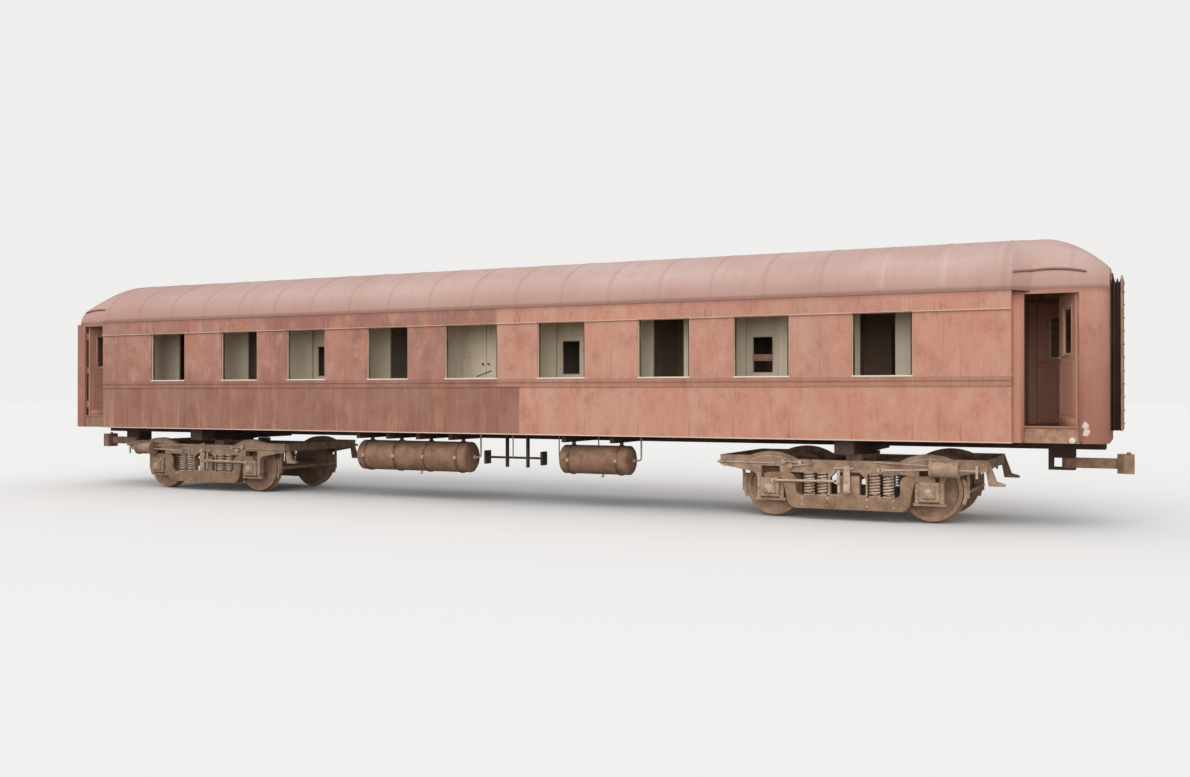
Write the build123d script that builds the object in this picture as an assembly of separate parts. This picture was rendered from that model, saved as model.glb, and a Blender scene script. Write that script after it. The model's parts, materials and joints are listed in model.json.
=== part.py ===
from build123d import *
from math import radians, sin, cos, atan2
import os

# Passenger coach of the closed compartment type on two four-wheel bogies.
# Millimetres. X runs along the coach, -Y is the corridor side, Z is up.
# The origin is under the middle of the coach, level with the tips of the wheel flanges.

# Track and wheels
FLANGE_DEPTH = 28.0
RAIL = FLANGE_DEPTH
WHEEL_R = 457.0
WHEEL_BACK_Y = 760.0
RIM_WIDTH = 135.0
RIM_THICK = 62.0
FLANGE_THICK = 32.0
WHEEL_WEB = 34.0
HUB_R = 135.0
AXLE_R = 82.0
JOURNAL_R = 70.0
JOURNAL_Y = 1050.0
JOURNAL_END_Y = 1140.0
AXLE_Z = RAIL + WHEEL_R

# Bogie
BOGIE_X = 6500.0
AXLE_X = 1219.0
FRAME_Y = 1050.0
FRAME_THICK = 120.0
FRAME_HALF_LEN = 2050.0
FRAME_TOP = RAIL + 900.0
FRAME_BOTTOM = RAIL + 700.0
HUMP_TOP = RAIL + 1020.0
HUMP_IN = 440.0
HUMP_OUT = 330.0
FRAME_END_TOP = RAIL + 950.0
FRAME_END_BOTTOM = RAIL + 790.0
END_FOOT_LOW = RAIL + 570.0
END_FOOT_T = 70.0
END_FOOT_OUT = 110.0
END_FOOT_REACH = 230.0
END_FOOT_IN = 40.0
END_FOOT_W = 60.0
PEDESTAL_SLOT = 150.0
PEDESTAL_LEG = 62.0
PEDESTAL_BOTTOM = RAIL + 290.0
PEDESTAL_CROWN = RAIL + 790.0
TIE_BAR_H = 40.0
TIE_BAR_OVER = 30.0
TIE_BAR_IN = 15.0
LEG_CURVE = 120.0
WINDOW_HALF = 275.0
WINDOW_BOTTOM = RAIL + 372.0
WINDOW_RING = 25.0
WINDOW_RISE = 20.0
WINDOW_BEVEL = 90.0
TRANSOM_X = 430.0
TRANSOM_W = 110.0
TRANSOM_H = 170.0
END_PIECE_W = 90.0
BOX_CLEAR = 0.3
BOX_H = 300.0
BOX_DEPTH = 240.0
LID_W = 200.0
LID_H = 190.0
LID_T = 34.0
LID_BEVEL = 14.0
LID_HINGE_R = 14.0
LID_HINGE_SHARE = 0.8
BOX_BEVEL = 18.0
BORE_CLEAR = 0.05
BORE_SPARE = 6.0
EQ_BOTTOM = RAIL + 150.0
EQ_DEPTH = 205.0
EQ_KNEE_X = 950.0
EQ_KNEE_R = 170.0
EQ_LEG = 150.0
EQ_LEAN = 60.0
EQ_END_X = 90.0
EQ_END_CUT = 30.0
EQ_SHOULDER_DROP = 45.0
EQ_PLATE = 26.0
EQ_PLATE_Y = 92.0
EQ_SEAT_H = 14.0
EQ_END_H = 84.0
SPRING_X = (400.0, 610.0)
SPRING_R = 88.0
SPRING_SEAT_GAP = 0.3
SPRING_LIP = 8.0
SPRING_CAP = 16.0
BOLSTER_HALF_X = 170.0
BOLSTER_BOTTOM = RAIL + 600.0
BOLSTER_STEP = 60.0
BOLSTER_OVER = 20.0
BOLSTER_END_GAP = 40.0
BOLSTER_TOP = RAIL + 880.0
CENTRE_PLATE_R = 210.0
CENTRE_PLATE_TOP = RAIL + 960.0
PIVOT_GAP = 0.3
SIDE_BEARING_Y = 640.0
SIDE_BEARING_X = 120.0
SIDE_BEARING_W = 60.0
SIDE_BEARING_RISE = 30.0
SIDE_BEARING_GAP = 8.0
BRAKE_CYL_X = (1265.0, 1640.0)
BRAKE_CYL_R = 120.0
BRAKE_CYL_Z = RAIL + 810.0
SHOE_GAP = 8.0
SHOE_THICK = 50.0
SHOE_HALF_ANGLE = 24.0
SHOE_W = 80.0
SHOE_OVER = 50.0
BRAKE_BEAM_R = 30.0
HANGER_W = 36.0
HANGER_T = 44.0
HANGER_SUNK = 12.0
HANGER_FOOT = 90.0
HANGER_BAR_Z = RAIL + 850.0
HANGER_BAR_R = 28.0
CYL_HEAD = 14.0
CYL_HEAD_T = 40.0
CYL_GAP = 0.3

# Body
END_X = 10160.0
SIDE_END_X = 8910.0
HALF_W = 1500.0
VEST_HALF_W = 1200.0
CORNER_R = 250.0
WALL = 70.0
SILL_Z = RAIL + 1220.0
FLOOR_Z = RAIL + 1440.0
FLOOR_T = 50.0
BELT_LOW = RAIL + 2030.0
BELT_HIGH = RAIL + 2170.0
BELT_PROUD = 14.0
WIN_LOW = RAIL + 2170.0
WIN_HIGH = RAIL + 3125.0
LETTER_LOW = RAIL + 3140.0
LETTER_PROUD = 10.0
DRIP_PROUD = 30.0
DRIP_H = 22.0
EAVE_Z = RAIL + 3390.0
CROWN_Z = RAIL + 4250.0
HAUNCH_R = 620.0
VEST_HAUNCH_R = 520.0
ROOF_T = 60.0
EAVE_LIP = 22.0
EAVE_LIP_H = 26.0

# Windows along one side: centre and width
WINDOWS = (
    (-7100.0, 890.0),
    (-5245.0, 890.0),
    (-3620.0, 890.0),
    (-1765.0, 890.0),
    (0.0, 1060.0),
    (1765.0, 890.0),
    (3620.0, 890.0),
    (5245.0, 890.0),
    (7100.0, 890.0),
)

# Vestibules and their doors
DOOR_X0 = 9030.0
DOOR_X1 = 9800.0
DOOR_TOP = RAIL + 3370.0
DOOR_T = 40.0
DOOR_CLEAR = 7.0
DOOR_OUT = 15.0
DOOR_WIN_W = 400.0
DOOR_WIN_LOW = RAIL + 2480.0
DOOR_WIN_HIGH = RAIL + 3170.0
HINGE_R = 14.0
HINGE_H = 110.0
HINGE_OUT = 14.0
HINGE_Z = (RAIL + 1700.0, RAIL + 2420.0, RAIL + 3140.0)
HINGE_GAP = 0.3
LUG_T = 14.0
END_DOOR_HALF = 335.0
OPEN_RIGHT_DEG = 70.0
OPEN_LEFT_DEG = 80.0
BULKHEAD_T = 60.0
RETURN_T = 60.0
PASSAGE_Y = (-1080.0, -380.0)
PASSAGE_TOP = RAIL + 3370.0
STEP_BOX_IN = 12.0
STEP_BOX_D = 190.0
STEP_R = 22.0

# Dome over the vestibule: distance along X, half width, crown height above the eave, haunch radius
TAPER_X = 9150.0
DOME = (
    (9300.0, 1200.0, 860.0, 520.0),
    (9560.0, 1198.0, 795.0, 510.0),
    (9860.0, 1165.0, 635.0, 430.0),
    (10160.0, 970.0, 380.0, 290.0),
)
ARC_X0 = 8930.0
ARC_X1 = 9870.0
ARC_Z = RAIL + 3640.0
ARC_RISE = 55.0
ARC_T = 24.0
ARC_PROUD = 28.0
END_ARC_HALF = 620.0
END_ARC_Z = RAIL + 3560.0
END_ARC_RISE = 120.0

# Inside
CORRIDOR_Y = -700.0
PARTITION_T = 40.0
LOBBY_X = 8020.0
LOBBY_Y = -300.0
CEILING_Z = RAIL + 3480.0
CEILING_T = 25.0
CEILING_IN = 20.0
ROOM_DOOR_W = 560.0
ROOM_DOOR_SHIFT = -230.0
ROOM_DOOR_TOP = RAIL + 3330.0
LEAF_T = 28.0
LEAF_GAP = 6.0
LEAF_LAP = 25.0
LEAF_RISE = 40.0
ROOM_DOOR_TRAVEL = 500.0
DOOR_RAIL_H = 40.0
LEAF_WIN_W = 360.0
LEAF_WIN_LOW = RAIL + 2250.0
LEAF_WIN_HIGH = RAIL + 2860.0
CLOSED_ROOMS = (2, 5, 7)
PANTRY_ROOM = 4
PANTRY_SEAM = -160.0
PANTRY_LEAF_W = 520.0
PANTRY_GAP = 5.0
PANTRY_PIVOT = 517.0
PANTRY_HINGE_R = 8.0
PANTRY_PIVOT_Y = CORRIDOR_Y - PANTRY_HINGE_R - HINGE_GAP
PANTRY_HINGE_Z = (RAIL + 1800.0, RAIL + 2950.0)
PANTRY_LEAF_BACK = 4.0
PANTRY_LUG_REACH = 40.0
KNOB_Z = RAIL + 2460.0
KNOB_R = 16.0
KNOB_IN = 60.0
KNOB_OUT = 42.0
SHUTTER_T = 24.0

# Gangway
GANGWAY_HALF = 560.0
GANGWAY_TUNNEL = 430.0
GANGWAY_LEN = 140.0
GANGWAY_LOW = RAIL + 1390.0
GANGWAY_TOP = RAIL + 3600.0
FOLDS = 3
FOLD_DEPTH = 30.0
FACE_T = 24.0

# Couplers
COUPLER_Z = RAIL + 890.0
COUPLER_PIVOT_X = 9560.0
COUPLER_FACE_X = 10470.0
SHANK_H = 150.0
SHANK_W = 120.0
EYE_WALL = 20.0
PIN_R = 32.0
PIN_CLEAR = 0.5
HEAD_LEN = 230.0
HEAD_H = 280.0
HEAD_PALM = 30.0
HEAD_HORN = 190.0
JAW_DEEP = 110.0
JAW_LIP = 60.0
JAW_SIDE = 40.0
KNUCKLE_SET = 20.0
POCKET_BACK = 260.0
POCKET_FRONT = 110.0
POCKET_CHEEK = 40.0
POCKET_T = 30.0

# Underframe
SILL_BEAM_W = 90.0
CENTRE_SILL_Y = 190.0
CENTRE_SILL_W = 110.0
CENTRE_SILL_LOW = RAIL + 1100.0
BEARER_W = 120.0
TANK_BEARER_W = 80.0
BEARER_LOW = RAIL + 1240.0
BEARERS = (-4700.0, -3100.0, -1500.0, 0.0, 1500.0, 3100.0, 4700.0)
BODY_BOLSTER_HALF = 150.0
BODY_BOLSTER_LOW = RAIL + 990.0
ARM_RISE = 10.0
UPPER_BEARING_X = 110.0
UPPER_BEARING_W = 55.0

# Tanks and brake gear below the floor: first end, last end, radius, centre height
LONG_TANK = (-2740.0, -280.0, 275.0, RAIL + 780.0)
SHORT_TANK = (1520.0, 2870.0, 245.0, RAIL + 800.0)
TANK_Y = -900.0
SHORT_TANK_Y = -950.0
TANK_BAND_W = 46.0
TANK_BAND_T = 9.0
TANK_HOOK_W = 30.0
LONG_BANDS = (-2520.0, -1860.0, -1210.0, -520.0)
SHORT_BANDS = (1740.0, 2640.0)
TANK_DISH = 70.0
GEAR_X = (-150.0, 1040.0)
GEAR_Y = -700.0
GEAR_Z = RAIL + 780.0
GEAR_ROD_R = 20.0
GEAR_BAR = 42.0
GEAR_HANGERS = (280.0, 700.0)
GEAR_HANGER_W = 30.0
GEAR_DROP = 170.0
GEAR_PLATE_IN = 250.0
GEAR_PLATE_W = 60.0
GEAR_PLATE_RISE = 140.0
LEVER_HALF = 90.0
LEVER_UP = 120.0

os.makedirs("parts", exist_ok=True)


def span(x0, x1, y0, y1, z0, z1):
    """A block between three pairs of limits."""
    size = (x1 - x0, y1 - y0, z1 - z0)
    middle = ((x0 + x1) / 2, (y0 + y1) / 2, (z0 + z1) / 2)
    return Pos(*middle) * Box(*size)


def rod(start, end, radius):
    """A round bar between two points."""
    a = Vector(*start)
    b = Vector(*end)
    plane = Plane(origin=a, z_dir=(b - a).normalized())
    return extrude(plane * Circle(radius), (b - a).length)


def plate_xz(points, y0, y1):
    """A plate cut to an outline in X and Z, between two values of Y."""
    outline = Polyline(*[(x, z) for x, z in points], close=True)
    face = make_face(Plane.XZ * outline)
    return Pos(0, y1, 0) * extrude(face, y1 - y0, dir=(0, -1, 0))


def mirrored_y(shape):
    return mirror(shape, Plane.XZ)


def mirrored_x(shape):
    return mirror(shape, Plane.YZ)


def save(shape, name):
    shape.label = name
    export_step(shape, "parts/" + name + ".step")


def both_sides(shape):
    return [shape, mirrored_y(shape)]


def group(shapes):
    """Separate solids that share one node."""
    solids = []
    for shape in shapes:
        solids.extend(shape.solids())
    return Compound(children=solids)


# Wheelset: one revolved profile of axle and two wheels

def wheelset_solid():
    back = WHEEL_BACK_Y
    front = back + RIM_WIDTH
    middle = back + RIM_WIDTH * 0.5
    rim_in = WHEEL_R - RIM_THICK
    half = (
        (AXLE_R, back - 20),
        (HUB_R, back - 20),
        (HUB_R, back + 12),
        (HUB_R + 40, middle - WHEEL_WEB),
        (rim_in - 30, middle - WHEEL_WEB / 2 + 14),
        (rim_in, back),
        (WHEEL_R + FLANGE_DEPTH - 10, back),
        (WHEEL_R + FLANGE_DEPTH, back + 8),
        (WHEEL_R + FLANGE_DEPTH, back + 18),
        (WHEEL_R + 8, back + FLANGE_THICK),
        (WHEEL_R, back + FLANGE_THICK + 12),
        (WHEEL_R - 5, front),
        (rim_in, front),
        (rim_in - 30, middle + WHEEL_WEB / 2 + 14),
        (HUB_R + 40, middle + WHEEL_WEB / 2 - 6),
        (HUB_R, front - 4),
        (JOURNAL_R + 12, front - 4),
        (JOURNAL_R + 12, JOURNAL_Y - BOX_DEPTH / 2 - 25),
        (JOURNAL_R, JOURNAL_Y - BOX_DEPTH / 2 - 25),
        (JOURNAL_R, JOURNAL_END_Y),
    )
    mirrored = [(r, -y) for r, y in reversed(half)]
    points = [(0.0, -JOURNAL_END_Y)] + mirrored + list(half) + [(0.0, JOURNAL_END_Y)]
    face = make_face(Polyline(*points, close=True))
    return revolve(face, Axis.Y)


# Bogie side frame: humped top, pedestals for the axle boxes, open window in the middle

def half_side_frame():
    """One half of a side frame's plate: an arched top over the axle box and the two legs of its pedestal."""
    leg_in = AXLE_X - PEDESTAL_SLOT - PEDESTAL_LEG
    slot_in = AXLE_X - PEDESTAL_SLOT
    slot_out = AXLE_X + PEDESTAL_SLOT
    leg_out = AXLE_X + PEDESTAL_SLOT + PEDESTAL_LEG
    low = PEDESTAL_BOTTOM
    curve = LEG_CURVE
    soft = LEG_CURVE * (1 - sin(radians(45)))
    ring_x = WINDOW_HALF + WINDOW_RING
    edges = [
        Line((0, FRAME_TOP), (AXLE_X - HUMP_IN, FRAME_TOP)),
        ThreePointArc((AXLE_X - HUMP_IN, FRAME_TOP), (AXLE_X, HUMP_TOP), (AXLE_X + HUMP_OUT, FRAME_END_TOP)),
        Polyline(
            (AXLE_X + HUMP_OUT, FRAME_END_TOP),
            (FRAME_HALF_LEN, FRAME_END_TOP),
            (FRAME_HALF_LEN, FRAME_END_BOTTOM),
            (leg_out + curve, FRAME_BOTTOM),
        ),
        ThreePointArc(
            (leg_out + curve, FRAME_BOTTOM),
            (leg_out + soft, FRAME_BOTTOM - soft),
            (leg_out, FRAME_BOTTOM - curve),
        ),
        Polyline(
            (leg_out, FRAME_BOTTOM - curve),
            (leg_out, low),
            (slot_out, low),
            (slot_out, PEDESTAL_CROWN),
            (slot_in, PEDESTAL_CROWN),
            (slot_in, low),
            (leg_in, low),
            (leg_in, FRAME_BOTTOM - curve),
        ),
        ThreePointArc(
            (leg_in, FRAME_BOTTOM - curve),
            (leg_in - soft, FRAME_BOTTOM - soft),
            (leg_in - curve, FRAME_BOTTOM),
        ),
        Polyline(
            (leg_in - curve, FRAME_BOTTOM),
            (ring_x, FRAME_BOTTOM),
            (ring_x, WINDOW_BOTTOM),
            (WINDOW_HALF, WINDOW_BOTTOM - WINDOW_RING),
            (0, WINDOW_BOTTOM - WINDOW_RING),
            (0, FRAME_TOP),
        ),
    ]
    face = make_face(Plane.XZ * (Curve() + edges))
    plate = Pos(0, FRAME_Y + FRAME_THICK / 2, 0) * extrude(face, FRAME_THICK, dir=(0, -1, 0))
    tie = PEDESTAL_SLOT + PEDESTAL_LEG + TIE_BAR_OVER
    deep = FRAME_THICK / 2 - TIE_BAR_IN
    plate += span(AXLE_X - tie, AXLE_X + tie, FRAME_Y - deep, FRAME_Y + deep, low - TIE_BAR_H, low)
    return plate


def end_foot():
    """Bracket that slopes down and out from one end of a side frame."""
    outline = (
        (FRAME_HALF_LEN - END_FOOT_IN, FRAME_END_TOP),
        (FRAME_HALF_LEN, FRAME_END_TOP),
        (FRAME_HALF_LEN + END_FOOT_OUT, END_FOOT_LOW + END_FOOT_T),
        (FRAME_HALF_LEN + END_FOOT_REACH, END_FOOT_LOW + END_FOOT_T / 2),
        (FRAME_HALF_LEN + END_FOOT_REACH, END_FOOT_LOW),
        (FRAME_HALF_LEN, END_FOOT_LOW),
        (FRAME_HALF_LEN - END_FOOT_IN, FRAME_END_BOTTOM),
    )
    return plate_xz(outline, FRAME_Y - FRAME_THICK / 2, FRAME_Y - FRAME_THICK / 2 + END_FOOT_W)


def side_frame():
    plate = half_side_frame()
    plate += mirrored_x(plate)
    top = FRAME_BOTTOM + WINDOW_RISE
    opening = (
        (-WINDOW_HALF, WINDOW_BOTTOM),
        (WINDOW_HALF, WINDOW_BOTTOM),
        (WINDOW_HALF, top - WINDOW_BEVEL),
        (WINDOW_HALF - WINDOW_BEVEL, top),
        (-WINDOW_HALF + WINDOW_BEVEL, top),
        (-WINDOW_HALF, top - WINDOW_BEVEL),
    )
    return plate - plate_xz(opening, FRAME_Y - FRAME_THICK, FRAME_Y + FRAME_THICK)


def bogie_frame(foot_end):
    """Two side frames, transoms and end pieces; foot_end is the end with the sloping brackets."""
    near = side_frame()
    near += end_foot() if foot_end > 0 else mirrored_x(end_foot())
    frame = near + mirrored_y(near)
    inner = FRAME_Y - FRAME_THICK / 2
    z1 = FRAME_TOP - 20
    for x in (-TRANSOM_X, TRANSOM_X):
        frame += span(x - TRANSOM_W / 2, x + TRANSOM_W / 2, -inner, inner, z1 - TRANSOM_H, z1)
    for x in (-FRAME_HALF_LEN + END_PIECE_W / 2, FRAME_HALF_LEN - END_PIECE_W / 2):
        z0 = FRAME_END_BOTTOM + 10
        frame += span(x - END_PIECE_W / 2, x + END_PIECE_W / 2, -inner, inner, z0, FRAME_END_TOP)
    return frame


def bogie_bolster():
    """Beam across the bogie, low at its ends, with the centre plate and two side bearings on top."""
    step_y = FRAME_Y - FRAME_THICK / 2 - BOLSTER_STEP
    end_y = FRAME_Y + BOLSTER_OVER
    half = BOLSTER_HALF_X
    end_top = FRAME_BOTTOM - BOLSTER_END_GAP
    beam = span(-half, half, -step_y, step_y, BOLSTER_BOTTOM, BOLSTER_TOP)
    plate_h = CENTRE_PLATE_TOP - BOLSTER_TOP
    beam += Pos(0, 0, BOLSTER_TOP + plate_h / 2) * Cylinder(CENTRE_PLATE_R, plate_h)
    bearing = span(
        -SIDE_BEARING_X,
        SIDE_BEARING_X,
        SIDE_BEARING_Y - SIDE_BEARING_W,
        SIDE_BEARING_Y + SIDE_BEARING_W,
        BOLSTER_TOP,
        CENTRE_PLATE_TOP + SIDE_BEARING_RISE - SIDE_BEARING_GAP,
    )
    end = span(-half, half, step_y, end_y, WINDOW_BOTTOM + BOX_CLEAR, end_top)
    for piece in both_sides(bearing) + both_sides(end):
        beam += piece
    return beam


def journal_box(x):
    """Axle box with a bevelled front, a lid and the lid's hinge, bored for the journal."""
    half = PEDESTAL_SLOT - BOX_CLEAR
    y0 = FRAME_Y - BOX_DEPTH / 2
    y1 = FRAME_Y + BOX_DEPTH / 2
    box = span(x - half, x + half, y0, y1, AXLE_Z - BOX_H / 2, AXLE_Z + BOX_H / 2)
    box = chamfer(box.faces().sort_by(Axis.Y)[-1].edges(), BOX_BEVEL)
    lid = span(x - LID_W / 2, x + LID_W / 2, y1, y1 + LID_T, AXLE_Z - LID_H / 2, AXLE_Z + LID_H / 2)
    box += chamfer(lid.faces().sort_by(Axis.Y)[-1].edges(), LID_BEVEL)
    hinge_y = y1 + LID_HINGE_R - 2
    hinge_z = AXLE_Z + LID_H / 2 + LID_HINGE_R / 2
    reach = LID_W * LID_HINGE_SHARE / 2
    box += rod((x - reach, hinge_y, hinge_z), (x + reach, hinge_y, hinge_z), LID_HINGE_R)
    bore = rod((x, y0 - 1, AXLE_Z), (x, JOURNAL_END_Y + BORE_SPARE, AXLE_Z), JOURNAL_R + BORE_CLEAR)
    return box - bore


def equalizer():
    """Drop equalizer: two shaped plates that rest on the axle boxes, with a round knee at each end."""
    low = EQ_BOTTOM
    top = EQ_BOTTOM + EQ_DEPTH
    box_top = AXLE_Z + BOX_H / 2 + BOX_CLEAR
    end_top = box_top + EQ_END_H
    knee_x = EQ_KNEE_X
    soft = EQ_KNEE_R * (1 - sin(radians(45)))
    inner = EQ_KNEE_X - EQ_LEG
    turn = EQ_KNEE_R / 2
    turn_soft = turn * (1 - sin(radians(45)))
    end_x = AXLE_X + EQ_END_X
    half = [
        Line((0, low), (knee_x - EQ_KNEE_R, low)),
        ThreePointArc((knee_x - EQ_KNEE_R, low), (knee_x - soft, low + soft), (knee_x, low + EQ_KNEE_R)),
        Polyline(
            (knee_x, low + EQ_KNEE_R),
            (knee_x + EQ_LEAN, box_top),
            (end_x, box_top),
            (end_x, end_top - EQ_END_CUT),
            (end_x - 2 * EQ_END_CUT, end_top),
            (knee_x, end_top),
        ),
        ThreePointArc(
            (knee_x, end_top),
            (inner + turn_soft, end_top - EQ_SHOULDER_DROP),
            (inner, end_top - EQ_LEG),
        ),
        Line((inner, end_top - EQ_LEG), (inner, top + turn)),
        ThreePointArc((inner, top + turn), (inner - turn_soft, top + turn_soft), (inner - turn, top)),
        Line((inner - turn, top), (0, top)),
        Line((0, top), (0, low)),
    ]
    face = make_face(Plane.XZ * (Curve() + half))
    plates = []
    for side in (-1, 1):
        y = FRAME_Y + side * EQ_PLATE_Y
        plate = Pos(0, y + EQ_PLATE / 2, 0) * extrude(face, EQ_PLATE, dir=(0, -1, 0))
        plates.append(plate + mirrored_x(plate))
    return plates


def spring_seats():
    """Blocks between the two plates of an equalizer, one under each pair of springs."""
    top = EQ_BOTTOM + EQ_DEPTH
    inner = EQ_PLATE_Y - EQ_PLATE / 2
    x0 = SPRING_X[0] - SPRING_R
    x1 = SPRING_X[1] + SPRING_R
    seat = span(x0, x1, FRAME_Y - inner, FRAME_Y + inner, top - EQ_SEAT_H, top)
    return [seat, mirrored_x(seat)]


def spring(x):
    """Stand-in of one coil spring: its outer size, with a thin cap at each end."""
    z0 = EQ_BOTTOM + EQ_DEPTH + SPRING_SEAT_GAP
    z1 = FRAME_BOTTOM - SPRING_SEAT_GAP
    body = rod((x, FRAME_Y, z0), (x, FRAME_Y, z1), SPRING_R - SPRING_LIP)
    foot = rod((x, FRAME_Y, z0), (x, FRAME_Y, z0 + SPRING_CAP), SPRING_R)
    cap = rod((x, FRAME_Y, z1 - SPRING_CAP), (x, FRAME_Y, z1), SPRING_R)
    return body + foot + cap


def brake_shoe(x, y, outward):
    """Curved shoe and its hanger, outside a wheel along the track."""
    r0 = WHEEL_R + SHOE_GAP
    r1 = r0 + SHOE_THICK
    ring = Rot(90, 0, 0) * (Cylinder(r1, SHOE_W) - Cylinder(r0, SHOE_W))
    reach = r1 * 1.2
    rise = reach * sin(radians(SHOE_HALF_ANGLE))
    shoe = ring & plate_xz(((0.0, 0.0), (outward * reach, rise), (outward * reach, -rise)), -SHOE_W, SHOE_W)
    hanger_x = outward * (r1 + HANGER_W / 2 - HANGER_SUNK)
    hanger = span(
        hanger_x - HANGER_W / 2,
        hanger_x + HANGER_W / 2,
        -HANGER_T / 2,
        HANGER_T / 2,
        -HANGER_FOOT,
        HANGER_BAR_Z - AXLE_Z,
    )
    return Pos(x, y, AXLE_Z) * (shoe + hanger)


def bogie_brakes():
    """Shoes outside the four wheels, on hangers that hang from a bar across the bogie, joined by beams."""
    pieces = []
    shoe_y = WHEEL_BACK_Y + FLANGE_THICK + SHOE_OVER
    inner = FRAME_Y - FRAME_THICK / 2
    for end in (-1, 1):
        x = end * AXLE_X
        beam_x = x + end * (WHEEL_R + SHOE_GAP + SHOE_THICK + HANGER_W / 2 - HANGER_SUNK)
        assembly = brake_shoe(x, shoe_y, end) + brake_shoe(x, -shoe_y, end)
        assembly += rod((beam_x, -shoe_y, AXLE_Z), (beam_x, shoe_y, AXLE_Z), BRAKE_BEAM_R)
        assembly += rod((beam_x, -inner, HANGER_BAR_Z), (beam_x, inner, HANGER_BAR_Z), HANGER_BAR_R)
        pieces.append(assembly)
    return pieces


def brake_cylinder(side):
    """Brake cylinder on the outer face of a side frame, a wider head at each end."""
    y = side * (FRAME_Y + FRAME_THICK / 2 + BRAKE_CYL_R + CYL_HEAD + CYL_GAP)
    x0, x1 = BRAKE_CYL_X
    z = BRAKE_CYL_Z
    drum = rod((x0, y, z), (x1, y, z), BRAKE_CYL_R)
    drum += rod((x0 - CYL_HEAD_T / 2, y, z), (x0 + CYL_HEAD_T / 2, y, z), BRAKE_CYL_R + CYL_HEAD)
    drum += rod((x1 - CYL_HEAD_T / 2, y, z), (x1 + CYL_HEAD_T / 2, y, z), BRAKE_CYL_R + CYL_HEAD)
    return drum


# Body shell pieces

def window_cut(x, width, y0, y1):
    return span(x - width / 2, x + width / 2, y0, y1, WIN_LOW, WIN_HIGH)


def side_wall():
    """Corridor side, drawn at -Y: sheet, belt rail, letterboard, drip moulding and the turned-in ends."""
    outer = -HALF_W
    inner = -HALF_W + WALL
    wall = span(-SIDE_END_X, SIDE_END_X, outer, inner, SILL_Z, EAVE_Z)
    step = (BELT_HIGH - BELT_LOW) / 5
    for low, high in ((0, 2), (3, 5)):
        wall += span(
            -SIDE_END_X,
            SIDE_END_X,
            outer - BELT_PROUD,
            outer,
            BELT_LOW + low * step,
            BELT_LOW + high * step,
        )
    wall += span(-SIDE_END_X, SIDE_END_X, outer - LETTER_PROUD, outer, LETTER_LOW, EAVE_Z)
    wall += span(-SIDE_END_X, SIDE_END_X, outer - DRIP_PROUD, outer, LETTER_LOW - DRIP_H, LETTER_LOW)
    for x, width in WINDOWS:
        wall -= window_cut(x, width, outer - 100, inner + 100)
    turn = span(SIDE_END_X - RETURN_T, SIDE_END_X, outer, -VEST_HALF_W + WALL, SILL_Z, EAVE_Z)
    wall += turn
    wall += mirrored_x(turn)
    return wall


def haunch_section(x, half_w, eave, rise, radius):
    """Roof section: a crown arc that runs into two haunch arcs, upright at the eaves."""
    flat = half_w - radius
    crown_r = (flat * flat + rise * rise - radius * radius) / (2 * (rise - radius))
    crown_z = eave + rise
    centre_z = crown_z - crown_r
    reach = crown_r - radius
    ty = flat / reach * crown_r
    tz = centre_z + (eave - centre_z) / reach * crown_r
    bisect = atan2(tz - eave, ty - flat) / 2
    my = flat + radius * cos(bisect)
    mz = eave + radius * sin(bisect)
    plane = Plane(origin=(x, 0, 0), x_dir=(0, 1, 0), z_dir=(1, 0, 0))
    edges = [
        Line((-half_w, eave), (half_w, eave)),
        ThreePointArc((half_w, eave), (my, mz), (ty, tz)),
        ThreePointArc((ty, tz), (0, crown_z), (-ty, tz)),
        ThreePointArc((-ty, tz), (-my, mz), (-half_w, eave)),
    ]
    return plane * make_face(Curve() + edges)


def roof_body(inset, end_trim):
    """The roof as a full form: level middle, taper and dome at each end, drawn in by inset."""
    rise = CROWN_Z - EAVE_Z - inset
    middle = haunch_section(-SIDE_END_X, HALF_W - inset, EAVE_Z, rise, HAUNCH_R - inset)
    form = extrude(middle, 2 * SIDE_END_X, dir=(1, 0, 0))
    taper_0 = haunch_section(SIDE_END_X, HALF_W - inset, EAVE_Z, rise, HAUNCH_R - inset)
    taper_1 = haunch_section(TAPER_X, VEST_HALF_W - inset, EAVE_Z, rise, VEST_HAUNCH_R - inset)
    taper = loft([taper_0, taper_1])
    level = extrude(taper_1, DOME[0][0] - TAPER_X, dir=(1, 0, 0))
    sections = []
    for x, half_w, height, radius in DOME:
        if x == DOME[-1][0]:
            x -= end_trim
        sections.append(haunch_section(x, half_w - inset, EAVE_Z, height - inset, radius - inset))
    dome = loft(sections)
    for piece in (taper, level, dome):
        form += piece
        form += mirrored_x(piece)
    return form


def arc_face(u0, u1, z, rise):
    """A strip curved like a brow between two ends, ARC_T deep."""
    middle = (u0 + u1) / 2
    edges = [
        ThreePointArc((u0, z), (middle, z + rise), (u1, z)),
        Line((u1, z), (u1, z + ARC_T)),
        ThreePointArc((u1, z + ARC_T), (middle, z + rise + ARC_T), (u0, z + ARC_T)),
        Line((u0, z + ARC_T), (u0, z)),
    ]
    return make_face(Curve() + edges)


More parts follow.
